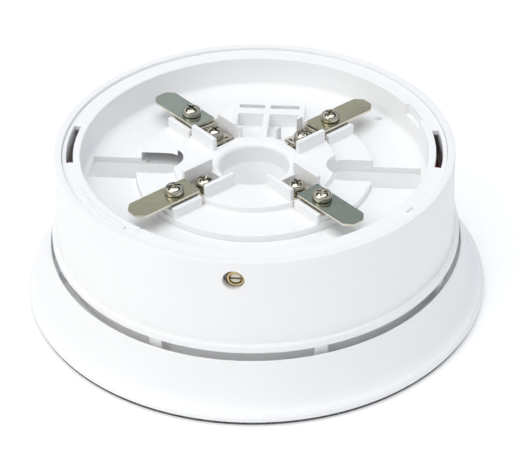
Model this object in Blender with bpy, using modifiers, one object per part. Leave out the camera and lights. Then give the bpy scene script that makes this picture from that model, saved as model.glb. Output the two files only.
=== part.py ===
"""Detector base sounder: a deep mounting base with four sprung contacts and a sounder inside.

Frame: +Z is up, towards the detector head. The origin is the centre of the ceiling face.
Sizes below are millimetres; every mesh is built in metres.
"""
from math import cos, pi, radians, sin

import bmesh
import bpy
from mathutils import Matrix, Vector

MM = 0.001
GAP = 0.3                 # clearance between pieces that touch
RING_STEPS = 48           # steps of the large turned pieces
SMALL_STEPS = 14          # steps of screws and other small turned pieces

# Overall sizes
DRUM_R = 54.0             # outer radius of the drum at its rim
SKIRT_FLARE = 10.0        # how far the skirt's foot stands out beyond the drum
RIM_Z = 44.2              # height of the drum's rim above the ceiling

# Drum
DRUM_WALL = 2.1
DRUM_DRAFT = 0.5          # how much wider the drum is at its foot
LIP_REACH = 2.3           # how far the foot lip stands out
LIP_H = 2.7
SOUND_GAP = 1.4           # slot between drum and skirt that lets the sound out
SEAT_REACH = 1.0          # inner shoulder that carries the terminal deck
SEAT_H = 2.0

# Skirt
SKIRT_TOP_Z = 16.1
SKIRT_NECK_REACH = 1.2    # neck of the flare beyond the drum's lip
FOOT_FLAT = 0.7           # small bead round the foot
FOOT_BEAD_Z = 2.0
FLARE_STEPS = 5
PLATE_T = 3.0
SKIRT_WALL = 2.2
SKIRT_LEDGE_REACH = 4.8
SKIRT_LEDGE_T = 2.0
RIB_COUNT = 8
RIB_W = 3.6
RIB_FIRST_DEG = 22.5
SINK_R = 4.1              # countersink of the housing screws

# Deck: a ring that makes the bowl and its ledge, and a round terminal block let into it
LEDGE_DROP = 0.8          # deck ledge below the drum's rim
REBATE_W = 1.3            # lip of the ring under the terminal block
REBATE_H = 0.6
LEDGE_W = 5.0
FLANGE_T = 1.6
BOWL_WALL = 1.7
BOWL_DEPTH = 8.5          # ledge down to the bowl's floor
FLOOR_T = 1.7
PLATFORM_H = 1.9
PLATFORM_W = 10.2         # boss edge to platform edge
PLATFORM_MARGIN = 4.7     # contact screw to platform edge
BOSS_H = 1.8
CABLE_HOLE_R = 9.4
CABLE_HOLE_Y = -1.2
CABLE_TUBE_WALL = 1.8
CABLE_RIM = 1.2           # rounding of the cable hole's mouth

# Ledge features, in degrees round the deck
LEDGE_SLOT_DEG = (-8.0, 13.0)
LEDGE_SLOT_INSET = (2.0, 1.2)
NOTCH_DEG = (20.0, 31.0)
NOTCH_DEPTH = 3.0
LEDGE_RIB_INSET = (2.4, 1.4)
LEDGE_RIB_H = 0.6
LEDGE_RIBS_DEG = ((-152.0, -126.0), (-34.5, -31.5))

# Fixing wells on +X and -X
WELL_OFF_TUBE = 8.3
WELL_OFF_BOWL = 1.9
WELL_HALF_W = 5.0
WELL_WALL = 1.3
WELL_FLOOR_T = 2.0
FIX_SLOT_OFF = 13.5       # inner end of the well to the middle of its slot
FIX_SLOT_L = 14.0
FIX_SLOT_W = 4.6

# Pair of pockets behind the cable hole, with a slit behind each
POCKET_X = ((-6.6, 0.5), (2.2, 10.3))
POCKET_OFF = 2.6
POCKET_L = 11.8
POCKET_BAR = 3.1
POCKET_SLIT = 1.7
POCKET_FRAME = 1.6
POCKET_BACK = 1.2
POCKET_RAISE = 0.2
PIN_HOLE_R = 0.6
PIN_HOLES = ((-3.2, 4.8), (4.4, 5.2), (7.4, 4.4))   # x, and how far behind the pocket's front edge

# Contacts, measured outwards from the centre along each diagonal
CONTACT_COUNT = 4
CONTACT_FIRST_DEG = 45.0
LEAF_W = 7.3
LEAF_T = 0.7
LEAF_ABOVE_FLOOR = 5.8
LEAF_TAIL = 5.9           # contact screw to the leaf's inner end
LEAF_BEND = 4.35          # contact screw to the line that the leaf bends about
LEAF_OFF_BOWL = 5.3       # leaf's tip to the bowl's wall
LEAF_CLIP = 2.0
BRACKET_OFF_HOLE = 3.2
BRACKET_END = 1.2         # bracket's inner end beyond the clamp
BRACKET_T = 0.8
CONTACT_SLACK = 0.15      # bracket narrower than the leaf, each side
CHANNEL_SLACK = 0.45      # channel wider than the leaf, each side
CHANNEL_RISE = 0.9        # channel floor above the bowl's floor
SCREW_SPACE = 6.7         # clamp's outer edge to the contact screw
GUIDE_WALL_T = 1.2
GUIDE_LEAD = 0.8          # guide walls reach further in than the channel
GUIDE_GAP = (0.1, 1.5)    # gap between tall and low guide walls, from the clamp's outer edge
GUIDE_HIGH = 7.3          # tall guide walls above the bowl's floor
GUIDE_LOW = 4.8
CUT_OVER = 0.1            # how far a later cut trims a wall, so that no two faces coincide
CLAMP_T = 1.0
CLAMP_GROOVES = 3
CLAMP_GROOVE_PITCH = 1.9
CLAMP_GROOVE_W = 0.7
CLAMP_GROOVE_DEPTH = 0.3

# Screws
SCREW_HEAD_R = 2.5
SCREW_HEAD_H = 1.6
SCREW_R = 1.35
SCREW_CLEAR = 0.35
SCREW_CHAMFER = 0.4
SCREW_LOW = 0.5           # screw tips below the bowl's floor
HEAD_CLEAR = 0.1
RECESS_L = 2.8
RECESS_W = 0.7
RECESS_DEPTH = 0.9

# Lock screw at the front
LOCK_DROP = 3.0           # below the deck's flange
LOCK_HOLE_R = 2.3
LOCK_BLOCK_HALF_W = 4.0
INSERT_R = 2.5
INSERT_BORE_R = 1.75
LOCK_SCREW_R = 1.45
LOCK_SCREW_L = 4.7
LOCK_SLOT = (2.4, 0.6, 0.9)   # width, height and depth of the driver slot

# Fastening of skirt to deck
PILLAR_INSET = 11.9       # pillars in from the drum's bore
PILLAR_R = 3.5
HOUSING_SCREW_L = 9.0
HOUSING_HEAD_R = 2.8
HOUSING_HEAD_H = 1.6
HOUSING_SINK = 0.2

# Sounder inside the drum
BOARD_T = 1.6
BOARD_EDGE_GAP = 0.7
CUP_OFF_TUBE = 3.2
CUP_R = 15.8
CUP_WALL = 1.5
CUP_H = 17.0
DISC_EDGE = 2.3           # brass plate in from the cup's outer radius
DISC_T = 0.25
CERAMIC_EDGE = 3.5
CERAMIC_T = 0.25
DISC_RAISE = 8.7
CAP_T = 1.6
CAP_HOLE_R = 3.0
LEAD_R = 0.5
LEAD_OFF_CUP = 3.6
SWITCH_Y = -30.0
SWITCH_SIZE = (11.6, 6.2, 3.0)
SLIDER_COUNT = 4
SLIDER_PITCH = 2.54
SLIDER_SIDE = 1.1
SLIDER_H = 1.7
SLIDER_PROUD = 0.7
SLIDER_TRAVEL = 1.6

# Sealing ring on the ceiling face
GASKET_INSET = (6.0, 2.5)
GASKET_T = 1.2

# Radii that follow from the sizes above
SKIRT_R = DRUM_R + SKIRT_FLARE
LIP_R = DRUM_R + LIP_REACH
SKIRT_NECK_R = LIP_R + SKIRT_NECK_REACH
DRUM_BORE_R = DRUM_R - DRUM_WALL
BOWL_R = DRUM_BORE_R - LEDGE_W
CUP_OUT_R = BOWL_R + BOWL_WALL
TUBE_R = CABLE_HOLE_R + CABLE_TUBE_WALL
LEDGE_SLOT_R = (BOWL_R + LEDGE_SLOT_INSET[0], DRUM_BORE_R - LEDGE_SLOT_INSET[1])
LEDGE_RIB_R = (DRUM_BORE_R - LEDGE_RIB_INSET[0], DRUM_BORE_R - LEDGE_RIB_INSET[1])
WELL_IN = TUBE_R + WELL_OFF_TUBE
WELL_OUT = BOWL_R - WELL_OFF_BOWL
FIX_SLOT_X = WELL_IN + FIX_SLOT_OFF
PILLAR_AT = DRUM_BORE_R - PILLAR_INSET
GASKET_R = (SKIRT_R - GASKET_INSET[0], SKIRT_R - GASKET_INSET[1])
CUP_Y = CABLE_HOLE_Y + TUBE_R + CUP_OFF_TUBE + CUP_R
DISC_R = CUP_R - DISC_EDGE
CERAMIC_R = DISC_R - CERAMIC_EDGE
SCREW_HOLE_R = SCREW_R + SCREW_CLEAR
POCKET_FRONT = CABLE_HOLE_Y + CABLE_HOLE_R + CABLE_RIM + POCKET_OFF
POCKET_Y = (POCKET_FRONT, POCKET_FRONT + POCKET_L)
POCKET_SLIT_Y = (POCKET_Y[1] + POCKET_BAR, POCKET_Y[1] + POCKET_BAR + POCKET_SLIT)

# Places along each contact's diagonal
BRACKET_IN = CABLE_HOLE_R + BRACKET_OFF_HOLE
CHANNEL_IN = BRACKET_IN - 2 * GAP
GUIDE_IN = CHANNEL_IN - GUIDE_LEAD
BRACKET_W = LEAF_W - 2 * CONTACT_SLACK
CLAMP_SIDE = BRACKET_W
TERMINAL_SCREW_AT = BRACKET_IN + BRACKET_END + CLAMP_SIDE / 2
CLAMP_EDGE_AT = TERMINAL_SCREW_AT + CLAMP_SIDE / 2
CONTACT_SCREW_AT = CLAMP_EDGE_AT + SCREW_SPACE
GUIDE_STEP = (CLAMP_EDGE_AT + GUIDE_GAP[0], CLAMP_EDGE_AT + GUIDE_GAP[1])
PLATFORM_R = CONTACT_SCREW_AT + PLATFORM_MARGIN
BOSS_R = PLATFORM_R - PLATFORM_W
REBATE_R = PLATFORM_R - REBATE_W
LEAF_IN = CONTACT_SCREW_AT - LEAF_TAIL
LEAF_ROOT = CONTACT_SCREW_AT + LEAF_BEND
LEAF_OUT = BOWL_R - LEAF_OFF_BOWL
CHANNEL_HALF_W = LEAF_W / 2 + CHANNEL_SLACK

# Heights that follow
LIP_Z = SKIRT_TOP_Z + SOUND_GAP
LEDGE_Z = RIM_Z - LEDGE_DROP
FLANGE_Z = LEDGE_Z - FLANGE_T
SEAT_Z = FLANGE_Z - GAP
FLOOR_Z = LEDGE_Z - BOWL_DEPTH
UNDER_Z = FLOOR_Z - FLOOR_T
PLATFORM_Z = FLOOR_Z + PLATFORM_H
BOSS_Z = PLATFORM_Z + BOSS_H
GUIDE_HIGH_Z = FLOOR_Z + GUIDE_HIGH
GUIDE_LOW_Z = FLOOR_Z + GUIDE_LOW
CHANNEL_Z = FLOOR_Z + CHANNEL_RISE
LEAF_TOP_Z = FLOOR_Z + LEAF_ABOVE_FLOOR
BRACKET_TOP_Z = LEAF_TOP_Z - LEAF_T - GAP
BLOCK_Z = BRACKET_TOP_Z - BRACKET_T - GAP
CLAMP_Z = CHANNEL_Z + BRACKET_T + 2 * GAP
SCREW_TIP_Z = FLOOR_Z - SCREW_LOW
LOCK_Z = FLANGE_Z - LOCK_DROP
INNER_FOOT_Z = PLATE_T + GAP
DISC_Z = INNER_FOOT_Z + DISC_RAISE
BOARD_TOP_Z = UNDER_Z - GAP
BOARD_Z = BOARD_TOP_Z - BOARD_T

parts = None
cutters = None


# ---------------------------------------------------------------- scene and materials

def clear_scene():
    for item in list(bpy.data.objects):
        bpy.data.objects.remove(item, do_unlink=True)


def new_collection(name):
    collection = bpy.data.collections.new(name)
    bpy.context.scene.collection.children.link(collection)
    return collection


def material(name, colour, roughness, metallic=0.0):
    made = bpy.data.materials.new(name)
    made.use_nodes = True
    shader = made.node_tree.nodes["Principled BSDF"]
    shader.inputs["Base Color"].default_value = (*colour, 1.0)
    shader.inputs["Roughness"].default_value = roughness
    shader.inputs["Metallic"].default_value = metallic
    return made


# ---------------------------------------------------------------- shapes

def add_object(name, mesh, cutter=False):
    item = bpy.data.objects.new(name, mesh)
    if cutter:
        cutters.objects.link(item)
        item.hide_render = True
        item.display_type = "WIRE"
    else:
        parts.objects.link(item)
    return item


def mesh_from(bm, name):
    mesh = bpy.data.meshes.new(name)
    bm.to_mesh(mesh)
    bm.free()
    return mesh


def boxes(name, spans, cutter=False):
    """One object of separate boxes, each given as (low corner, high corner, turn about Z)."""
    bm = bmesh.new()
    for low, high, turn in spans:
        low = Vector(low) * MM
        high = Vector(high) * MM
        size = Matrix.Diagonal((*(high - low), 1.0))
        place = Matrix.Rotation(turn, 4, "Z") @ Matrix.Translation((low + high) / 2) @ size
        bmesh.ops.create_cube(bm, size=1.0, matrix=place)
    return add_object(name, mesh_from(bm, name), cutter)


def cylinders(name, spans, steps=SMALL_STEPS, cutter=False, along="Z"):
    """One object of separate cylinders, each (centre, low radius, high radius, length)."""
    bm = bmesh.new()
    tilt = {"Z": Matrix.Identity(4), "Y": Matrix.Rotation(-pi / 2, 4, "X")}[along]
    for centre, low_r, high_r, length in spans:
        place = Matrix.Translation(Vector(centre) * MM) @ tilt
        bmesh.ops.create_cone(bm, cap_ends=True, segments=steps, radius1=low_r * MM,
                              radius2=high_r * MM, depth=length * MM, matrix=place)
    return add_object(name, mesh_from(bm, name), cutter)


def turned(name, profile, steps=RING_STEPS, closed=True, cutter=False):
    """A turned shape from (radius, height) points that run down the outer side."""
    bm = bmesh.new()
    points = [bm.verts.new((r * MM, 0.0, z * MM)) for r, z in profile]
    for first, second in zip(points, points[1:]):
        bm.edges.new((first, second))
    if closed:
        bm.edges.new((points[-1], points[0]))
    item = add_object(name, mesh_from(bm, name), cutter)
    screw = item.modifiers.new("Turn", "SCREW")
    screw.axis = "Z"
    screw.angle = 2 * pi
    screw.steps = steps
    screw.render_steps = steps
    screw.use_merge_vertices = True
    screw.merge_threshold = 0.00001
    return item


def prism(name, outline, low, high, cutter=False, upright=False):
    """A flat outline extruded from low to high along Z, or along Y when upright."""
    curve = bpy.data.curves.new(name, "CURVE")
    curve.dimensions = "2D"
    curve.fill_mode = "BOTH"
    curve.extrude = (high - low) / 2 * MM
    spline = curve.splines.new("POLY")
    spline.points.add(len(outline) - 1)
    for point, (x, y) in zip(spline.points, outline):
        point.co = (x * MM, y * MM, 0.0, 1.0)
    spline.use_cyclic_u = True
    guide = bpy.data.objects.new(name + "_outline", curve)
    cutters.objects.link(guide)
    bpy.context.view_layer.update()
    mesh = bpy.data.meshes.new_from_object(guide.evaluated_get(bpy.context.evaluated_depsgraph_get()))
    bpy.data.objects.remove(guide, do_unlink=True)
    bm = bmesh.new()
    bm.from_mesh(mesh)
    bmesh.ops.remove_doubles(bm, verts=bm.verts, dist=0.000001)
    bmesh.ops.recalc_face_normals(bm, faces=bm.faces)
    middle = (low + high) / 2 * MM
    if upright:
        bm.transform(Matrix.Translation((0.0, middle, 0.0)) @ Matrix.Rotation(pi / 2, 4, "X"))
    else:
        bm.transform(Matrix.Translation((0.0, 0.0, middle)))
    bm.to_mesh(mesh)
    bm.free()
    mesh.name = name
    return add_object(name, mesh, cutter)


def arc(radius, start, end, count, centre=(0.0, 0.0)):
    """Points on an arc; angles in degrees."""
    steps = [start + (end - start) * i / count for i in range(count + 1)]
    return [(centre[0] + radius * cos(radians(a)), centre[1] + radius * sin(radians(a))) for a in steps]


def ring_sector(radii, degrees, count=6):
    return arc(radii[1], *degrees, count) + arc(radii[0], degrees[1], degrees[0], count)


def slot_outline(length, width, centre_x):
    half = (length - width) / 2
    right = arc(width / 2, -90, 90, 6, (centre_x + half, 0.0))
    left = arc(width / 2, 90, 270, 6, (centre_x - half, 0.0))
    return right + left


def boolean(item, tool, operation):
    step = item.modifiers.new(operation.title(), "BOOLEAN")
    step.operation = operation
    step.object = tool
    step.solver = "EXACT"


def cut(item, tool):
    boolean(item, tool, "DIFFERENCE")


def join(item, tool):
    boolean(item, tool, "UNION")


def finish(item, finish_material, smooth=True):
    item.data.materials.append(finish_material)
    if smooth:
        item.data.shade_smooth()
    return item


def set_down(item, turn=0.0, radius=0.0, height=0.0):
    """Puts a piece built about its own axis on the diagonal at this angle, radius and height."""
    item.location = (radius * cos(turn) * MM, radius * sin(turn) * MM, height * MM)
    item.rotation_euler = (0.0, 0.0, turn)


# ---------------------------------------------------------------- housings

def contact_angles():
    return [radians(CONTACT_FIRST_DEG + 360 / CONTACT_COUNT * i) for i in range(CONTACT_COUNT)]


def pillar_places(height):
    return [(PILLAR_AT * cos(a), PILLAR_AT * sin(a), height) for a in contact_angles()]


def make_skirt(plastic):
    neck = SKIRT_NECK_R
    flare_z = SKIRT_TOP_Z - 0.8
    outer = [(neck - 0.6, SKIRT_TOP_Z), (neck, SKIRT_TOP_Z - 0.6)]
    # The flare is a quarter of an ellipse that is steep at the neck and flat at the foot.
    rise = flare_z - FOOT_BEAD_Z - 0.8
    reach = SKIRT_R - FOOT_FLAT - neck
    for i in range(1, FLARE_STEPS + 1):
        bend = radians(90 * i / FLARE_STEPS)
        outer.append((neck + reach * (1 - cos(bend)), flare_z - rise * sin(bend)))
    outer += [(SKIRT_R, FOOT_BEAD_Z), (SKIRT_R, 0.0)]
    groove = [(GASKET_R[1] + GAP, 0.0), (GASKET_R[1] + GAP, GASKET_T + GAP),
              (GASKET_R[0] - GAP, GASKET_T + GAP), (GASKET_R[0] - GAP, 0.0), (0.0, 0.0)]
    wall = neck - SKIRT_WALL
    inner = [(0.0, PLATE_T), (wall - 1.0, PLATE_T), (wall, PLATE_T + 1.0),
             (wall, SKIRT_TOP_Z - SKIRT_LEDGE_T), (neck - SKIRT_LEDGE_REACH, SKIRT_TOP_Z - SKIRT_LEDGE_T),
             (neck - SKIRT_LEDGE_REACH, SKIRT_TOP_Z)]
    skirt = turned("flared_skirt", inner + outer + groove, closed=False)
    ribs = []
    for i in range(RIB_COUNT):
        low = (neck - SKIRT_LEDGE_REACH + 0.4, -RIB_W / 2, SKIRT_TOP_Z - 0.5)
        high = (LIP_R - 0.3, RIB_W / 2, LIP_Z - GAP)
        ribs.append((low, high, radians(RIB_FIRST_DEG + 360 / RIB_COUNT * i)))
    join(skirt, boxes("skirt_ribs", ribs, cutter=True))
    hole = ((0.0, CABLE_HOLE_Y, PLATE_T / 2), CABLE_HOLE_R, CABLE_HOLE_R, PLATE_T + 2)
    cut(skirt, cylinders("skirt_cable_hole", [hole], 32, cutter=True))
    shanks = [(place, SCREW_HOLE_R, SCREW_HOLE_R, PLATE_T + 2) for place in pillar_places(PLATE_T / 2)]
    cut(skirt, cylinders("skirt_screw_holes", shanks, cutter=True))
    sinks = [(place, SINK_R, SCREW_HOLE_R, SINK_R - SCREW_HOLE_R) for place in pillar_places(0.7)]
    cut(skirt, cylinders("skirt_countersinks", sinks, cutter=True))
    for side in (1, -1):
        outline = slot_outline(FIX_SLOT_L, FIX_SLOT_W, side * FIX_SLOT_X)
        cut(skirt, prism("skirt_fixing_slot", outline, -1.0, PLATE_T + 1.0, cutter=True))
    return finish(skirt, plastic)


def make_drum(plastic):
    foot_r = DRUM_R + DRUM_DRAFT
    lip_top = LIP_Z + LIP_H
    profile = [(DRUM_R - 0.5, RIM_Z), (DRUM_R - 0.15, RIM_Z - 0.15), (DRUM_R, RIM_Z - 0.5)]
    profile += [(foot_r, lip_top + 2.6), (foot_r + 0.3, lip_top + 1.2), (LIP_R - 0.9, lip_top + 0.4),
                (LIP_R - 0.25, lip_top), (LIP_R, lip_top - 0.6), (LIP_R, LIP_Z)]
    profile += [(DRUM_BORE_R, LIP_Z), (DRUM_BORE_R, SEAT_Z - SEAT_H - SEAT_REACH),
                (DRUM_BORE_R - SEAT_REACH, SEAT_Z - SEAT_H), (DRUM_BORE_R - SEAT_REACH, SEAT_Z),
                (DRUM_BORE_R, SEAT_Z), (DRUM_BORE_R, RIM_Z - 0.3), (DRUM_BORE_R + 0.3, RIM_Z)]
    drum = turned("drum_housing", profile)
    bore = ((0.0, -DRUM_R, LOCK_Z), LOCK_HOLE_R, LOCK_HOLE_R, 4 * DRUM_WALL)
    cut(drum, cylinders("drum_lock_hole", [bore], 24, cutter=True, along="Y"))
    return finish(drum, plastic)


def well_outline(side, grow=0.0):
    """Outline of a fixing well: round at its inner end, square at its outer end."""
    half = WELL_HALF_W + grow
    inner = arc(half, 90, 270, 9, (WELL_IN + WELL_HALF_W, 0.0))
    points = [(WELL_OUT + grow, half)] + inner + [(WELL_OUT + grow, -half)]
    return [(side * x, side * y) for x, y in points]


def cut_wells(item):
    for side in (1, -1):
        cut(item, prism("well_space", well_outline(side), UNDER_Z - 1.0, RIM_Z, cutter=True))


def make_deck_ring(plastic):
    """The ledge that the head turns on, the bowl's wall, and the outer part of its floor."""
    profile = [(BOWL_R + 0.5, LEDGE_Z), (DRUM_BORE_R - GAP, LEDGE_Z), (DRUM_BORE_R - GAP, FLANGE_Z),
               (CUP_OUT_R, FLANGE_Z), (CUP_OUT_R, UNDER_Z), (REBATE_R, UNDER_Z),
               (REBATE_R, UNDER_Z + REBATE_H), (PLATFORM_R + GAP, UNDER_Z + REBATE_H),
               (PLATFORM_R + GAP, FLOOR_Z), (BOWL_R - 0.8, FLOOR_Z), (BOWL_R, FLOOR_Z + 0.8),
               (BOWL_R, LEDGE_Z - 0.5)]
    ring = turned("deck_ring", profile)

    # Block round the lock screw, ribs on the ledge, and the pillars that take the housing screws
    low = (-LOCK_BLOCK_HALF_W, -(DRUM_BORE_R - SEAT_REACH - GAP - 0.2), UNDER_Z + 0.5)
    high = (LOCK_BLOCK_HALF_W, -BOWL_R - 0.4, FLANGE_Z + 0.5)
    join(ring, boxes("ring_lock_block", [(low, high, 0.0)], cutter=True))
    for number, span in enumerate(LEDGE_RIBS_DEG):
        outline = ring_sector(LEDGE_RIB_R, span)
        rib_top = LEDGE_Z + LEDGE_RIB_H
        join(ring, prism(f"ring_ledge_rib_{number}", outline, LEDGE_Z - 0.4, rib_top, cutter=True))
    length = UNDER_Z + 0.5 - INNER_FOOT_Z
    pillars = [(place, PILLAR_R, PILLAR_R, length) for place in pillar_places(INNER_FOOT_Z + length / 2)]
    join(ring, cylinders("ring_pillars", pillars, cutter=True))

    cut_wells(ring)
    for turn in (0.0, 180.0):
        outline = ring_sector(LEDGE_SLOT_R, tuple(turn + value for value in LEDGE_SLOT_DEG))
        cut(ring, prism("ring_ledge_slot", outline, FLANGE_Z - 0.5, RIM_Z, cutter=True))
    bore_l = HOUSING_SCREW_L + 2.0
    bore_z = INNER_FOOT_Z + bore_l / 2 - 1.0
    bores = [(place, SCREW_HOLE_R, SCREW_HOLE_R, bore_l) for place in pillar_places(bore_z)]
    cut(ring, cylinders("ring_pillar_bores", bores, 12, cutter=True))
    notch = ring_sector((BOWL_R - 1.0, CUP_OUT_R - 0.5), NOTCH_DEG)
    cut(ring, prism("ring_notch", notch, LEDGE_Z - NOTCH_DEPTH, RIM_Z, cutter=True))
    bore = ((0.0, -BOWL_R, LOCK_Z), INSERT_R + GAP, INSERT_R + GAP, 12.0)
    cut(ring, cylinders("ring_lock_bore", [bore], 20, cutter=True, along="Y"))
    return finish(ring, plastic)


def guide_walls():
    """Walls beside each contact, tall at the terminal screw and low at the contact screw."""
    spans = []
    base = PLATFORM_Z - 0.5
    outer = CHANNEL_HALF_W + GUIDE_WALL_T
    for turn in contact_angles():
        for side in (1, -1):
            near, far = sorted((side * (CHANNEL_HALF_W - CUT_OVER), side * outer))
            spans.append(((GUIDE_IN, near, base), (GUIDE_STEP[0], far, GUIDE_HIGH_Z), turn))
            spans.append(((GUIDE_STEP[1], near, base), (PLATFORM_R - 0.6, far, GUIDE_LOW_Z), turn))
    return spans


def make_terminal_block(plastic):
    """The stepped disc that carries the contacts."""
    step_z = UNDER_Z + REBATE_H + GAP
    profile = [(0.0, BOSS_Z), (BOSS_R - 0.4, BOSS_Z), (BOSS_R, BOSS_Z - 0.4), (BOSS_R, PLATFORM_Z),
               (PLATFORM_R - 0.4, PLATFORM_Z), (PLATFORM_R, PLATFORM_Z - 0.4), (PLATFORM_R, step_z),
               (REBATE_R - GAP, step_z), (REBATE_R - GAP, UNDER_Z), (0.0, UNDER_Z)]
    block = turned("terminal_block", profile, closed=False)
    join(block, boxes("block_walls", guide_walls(), cutter=True))

    # Raised frame of the pockets, and the seats under the contact screws
    low = (POCKET_X[0][0] - POCKET_FRAME, POCKET_Y[0] - POCKET_FRAME, PLATFORM_Z - 0.5)
    high = (POCKET_X[1][1] + POCKET_FRAME, POCKET_SLIT_Y[1] + POCKET_BACK, BOSS_Z + POCKET_RAISE)
    seats = [(low, high, 0.0)]
    for turn in contact_angles():
        low = (GUIDE_STEP[1] - CUT_OVER, -CHANNEL_HALF_W - 0.5, PLATFORM_Z - 0.6)
        seats.append((low, (PLATFORM_R - 0.7, CHANNEL_HALF_W + 0.5, BLOCK_Z), turn))
    join(block, boxes("block_seats", seats, cutter=True))

    # Cable hole, with a rounded mouth
    mouth = [(0.0, BOSS_Z + 1.0), (CABLE_HOLE_R + CABLE_RIM + 1.0, BOSS_Z + 1.0),
             (CABLE_HOLE_R + CABLE_RIM, BOSS_Z), (CABLE_HOLE_R + 0.35, BOSS_Z - 0.5),
             (CABLE_HOLE_R, BOSS_Z - CABLE_RIM), (CABLE_HOLE_R, UNDER_Z - 1.0), (0.0, UNDER_Z - 1.0)]
    way = turned("block_cable_way", mouth, 32, closed=False, cutter=True)
    way.location = (0.0, CABLE_HOLE_Y * MM, 0.0)
    cut(block, way)
    cut_wells(block)

    # Channels of the contacts and their screw holes
    channels = []
    holes = []
    for turn in contact_angles():
        low = (CHANNEL_IN, -CHANNEL_HALF_W, CHANNEL_Z)
        channels.append((low, (GUIDE_STEP[1] + 0.2, CHANNEL_HALF_W, RIM_Z), turn))
        for reach in (CONTACT_SCREW_AT, TERMINAL_SCREW_AT):
            place = (reach * cos(turn), reach * sin(turn), BOSS_Z)
            holes.append((place, SCREW_HOLE_R, SCREW_HOLE_R, 2 * (BOSS_Z - SCREW_TIP_Z + 0.4)))
    cut(block, boxes("block_channels", channels, cutter=True))
    cut(block, cylinders("block_screw_holes", holes, 10, cutter=True))

    # Pockets and the slit behind them
    spaces = []
    for low_x, high_x in POCKET_X:
        spaces.append(((low_x, POCKET_Y[0], FLOOR_Z), (high_x, POCKET_Y[1], RIM_Z), 0.0))
        spaces.append(((low_x, POCKET_SLIT_Y[0], FLOOR_Z), (high_x, POCKET_SLIT_Y[1], RIM_Z), 0.0))
    cut(block, boxes("block_pockets", spaces, cutter=True))
    pins = [((x, POCKET_Y[0] + y, FLOOR_Z), PIN_HOLE_R, PIN_HOLE_R, 6.0) for x, y in PIN_HOLES]
    cut(block, cylinders("block_pin_holes", pins, 8, cutter=True))
    return finish(block, plastic)


def make_sleeves(plastic):
    """Sleeves between the ceiling plate and the deck: one for the cables, one for each fixing screw."""
    top = UNDER_Z - GAP
    profile = [(CABLE_HOLE_R, top), (TUBE_R, top), (TUBE_R, INNER_FOOT_Z), (CABLE_HOLE_R, INNER_FOOT_Z)]
    sleeve = turned("cable_sleeve", profile, 32)
    sleeve.location = (0.0, CABLE_HOLE_Y * MM, 0.0)
    finish(sleeve, plastic)
    for side, name in ((1, "well_sleeve_right"), (-1, "well_sleeve_left")):
        well = prism(name, well_outline(side, WELL_WALL), INNER_FOOT_Z, top)
        floor = INNER_FOOT_Z + WELL_FLOOR_T
        cut(well, prism("sleeve_space", well_outline(side), floor, RIM_Z, cutter=True))
        slot = slot_outline(FIX_SLOT_L, FIX_SLOT_W, side * FIX_SLOT_X)
        cut(well, prism("sleeve_slot", slot, INNER_FOOT_Z - 1, INNER_FOOT_Z + 3, cutter=True))
        finish(well, plastic)


# ---------------------------------------------------------------- contacts

def screw_profile(head_z, tip_z):
    """Pan head over a shank; heights from the piece's own origin."""
    top = head_z + SCREW_HEAD_H
    return [(0.0, top), (SCREW_HEAD_R * 0.62, top - 0.1), (SCREW_HEAD_R * 0.9, top - 0.45),
            (SCREW_HEAD_R, head_z + 0.5), (SCREW_HEAD_R, head_z), (SCREW_R, head_z),
            (SCREW_R, tip_z + SCREW_CHAMFER), (SCREW_R - SCREW_CHAMFER, tip_z), (0.0, tip_z)]


def make_screw(name, head_z, tip_z, steel):
    screw = turned(name, screw_profile(head_z, tip_z), SMALL_STEPS, closed=False)
    top = head_z + SCREW_HEAD_H
    low = (-RECESS_L / 2, -RECESS_W / 2, top - RECESS_DEPTH)
    high = (RECESS_L / 2, RECESS_W / 2, top + 1)
    for turn in (0.0, pi / 2):
        tool = boxes(name + "_recess", [(low, high, turn)], cutter=True)
        tool.parent = screw
        cut(screw, tool)
    return finish(screw, steel)


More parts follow.
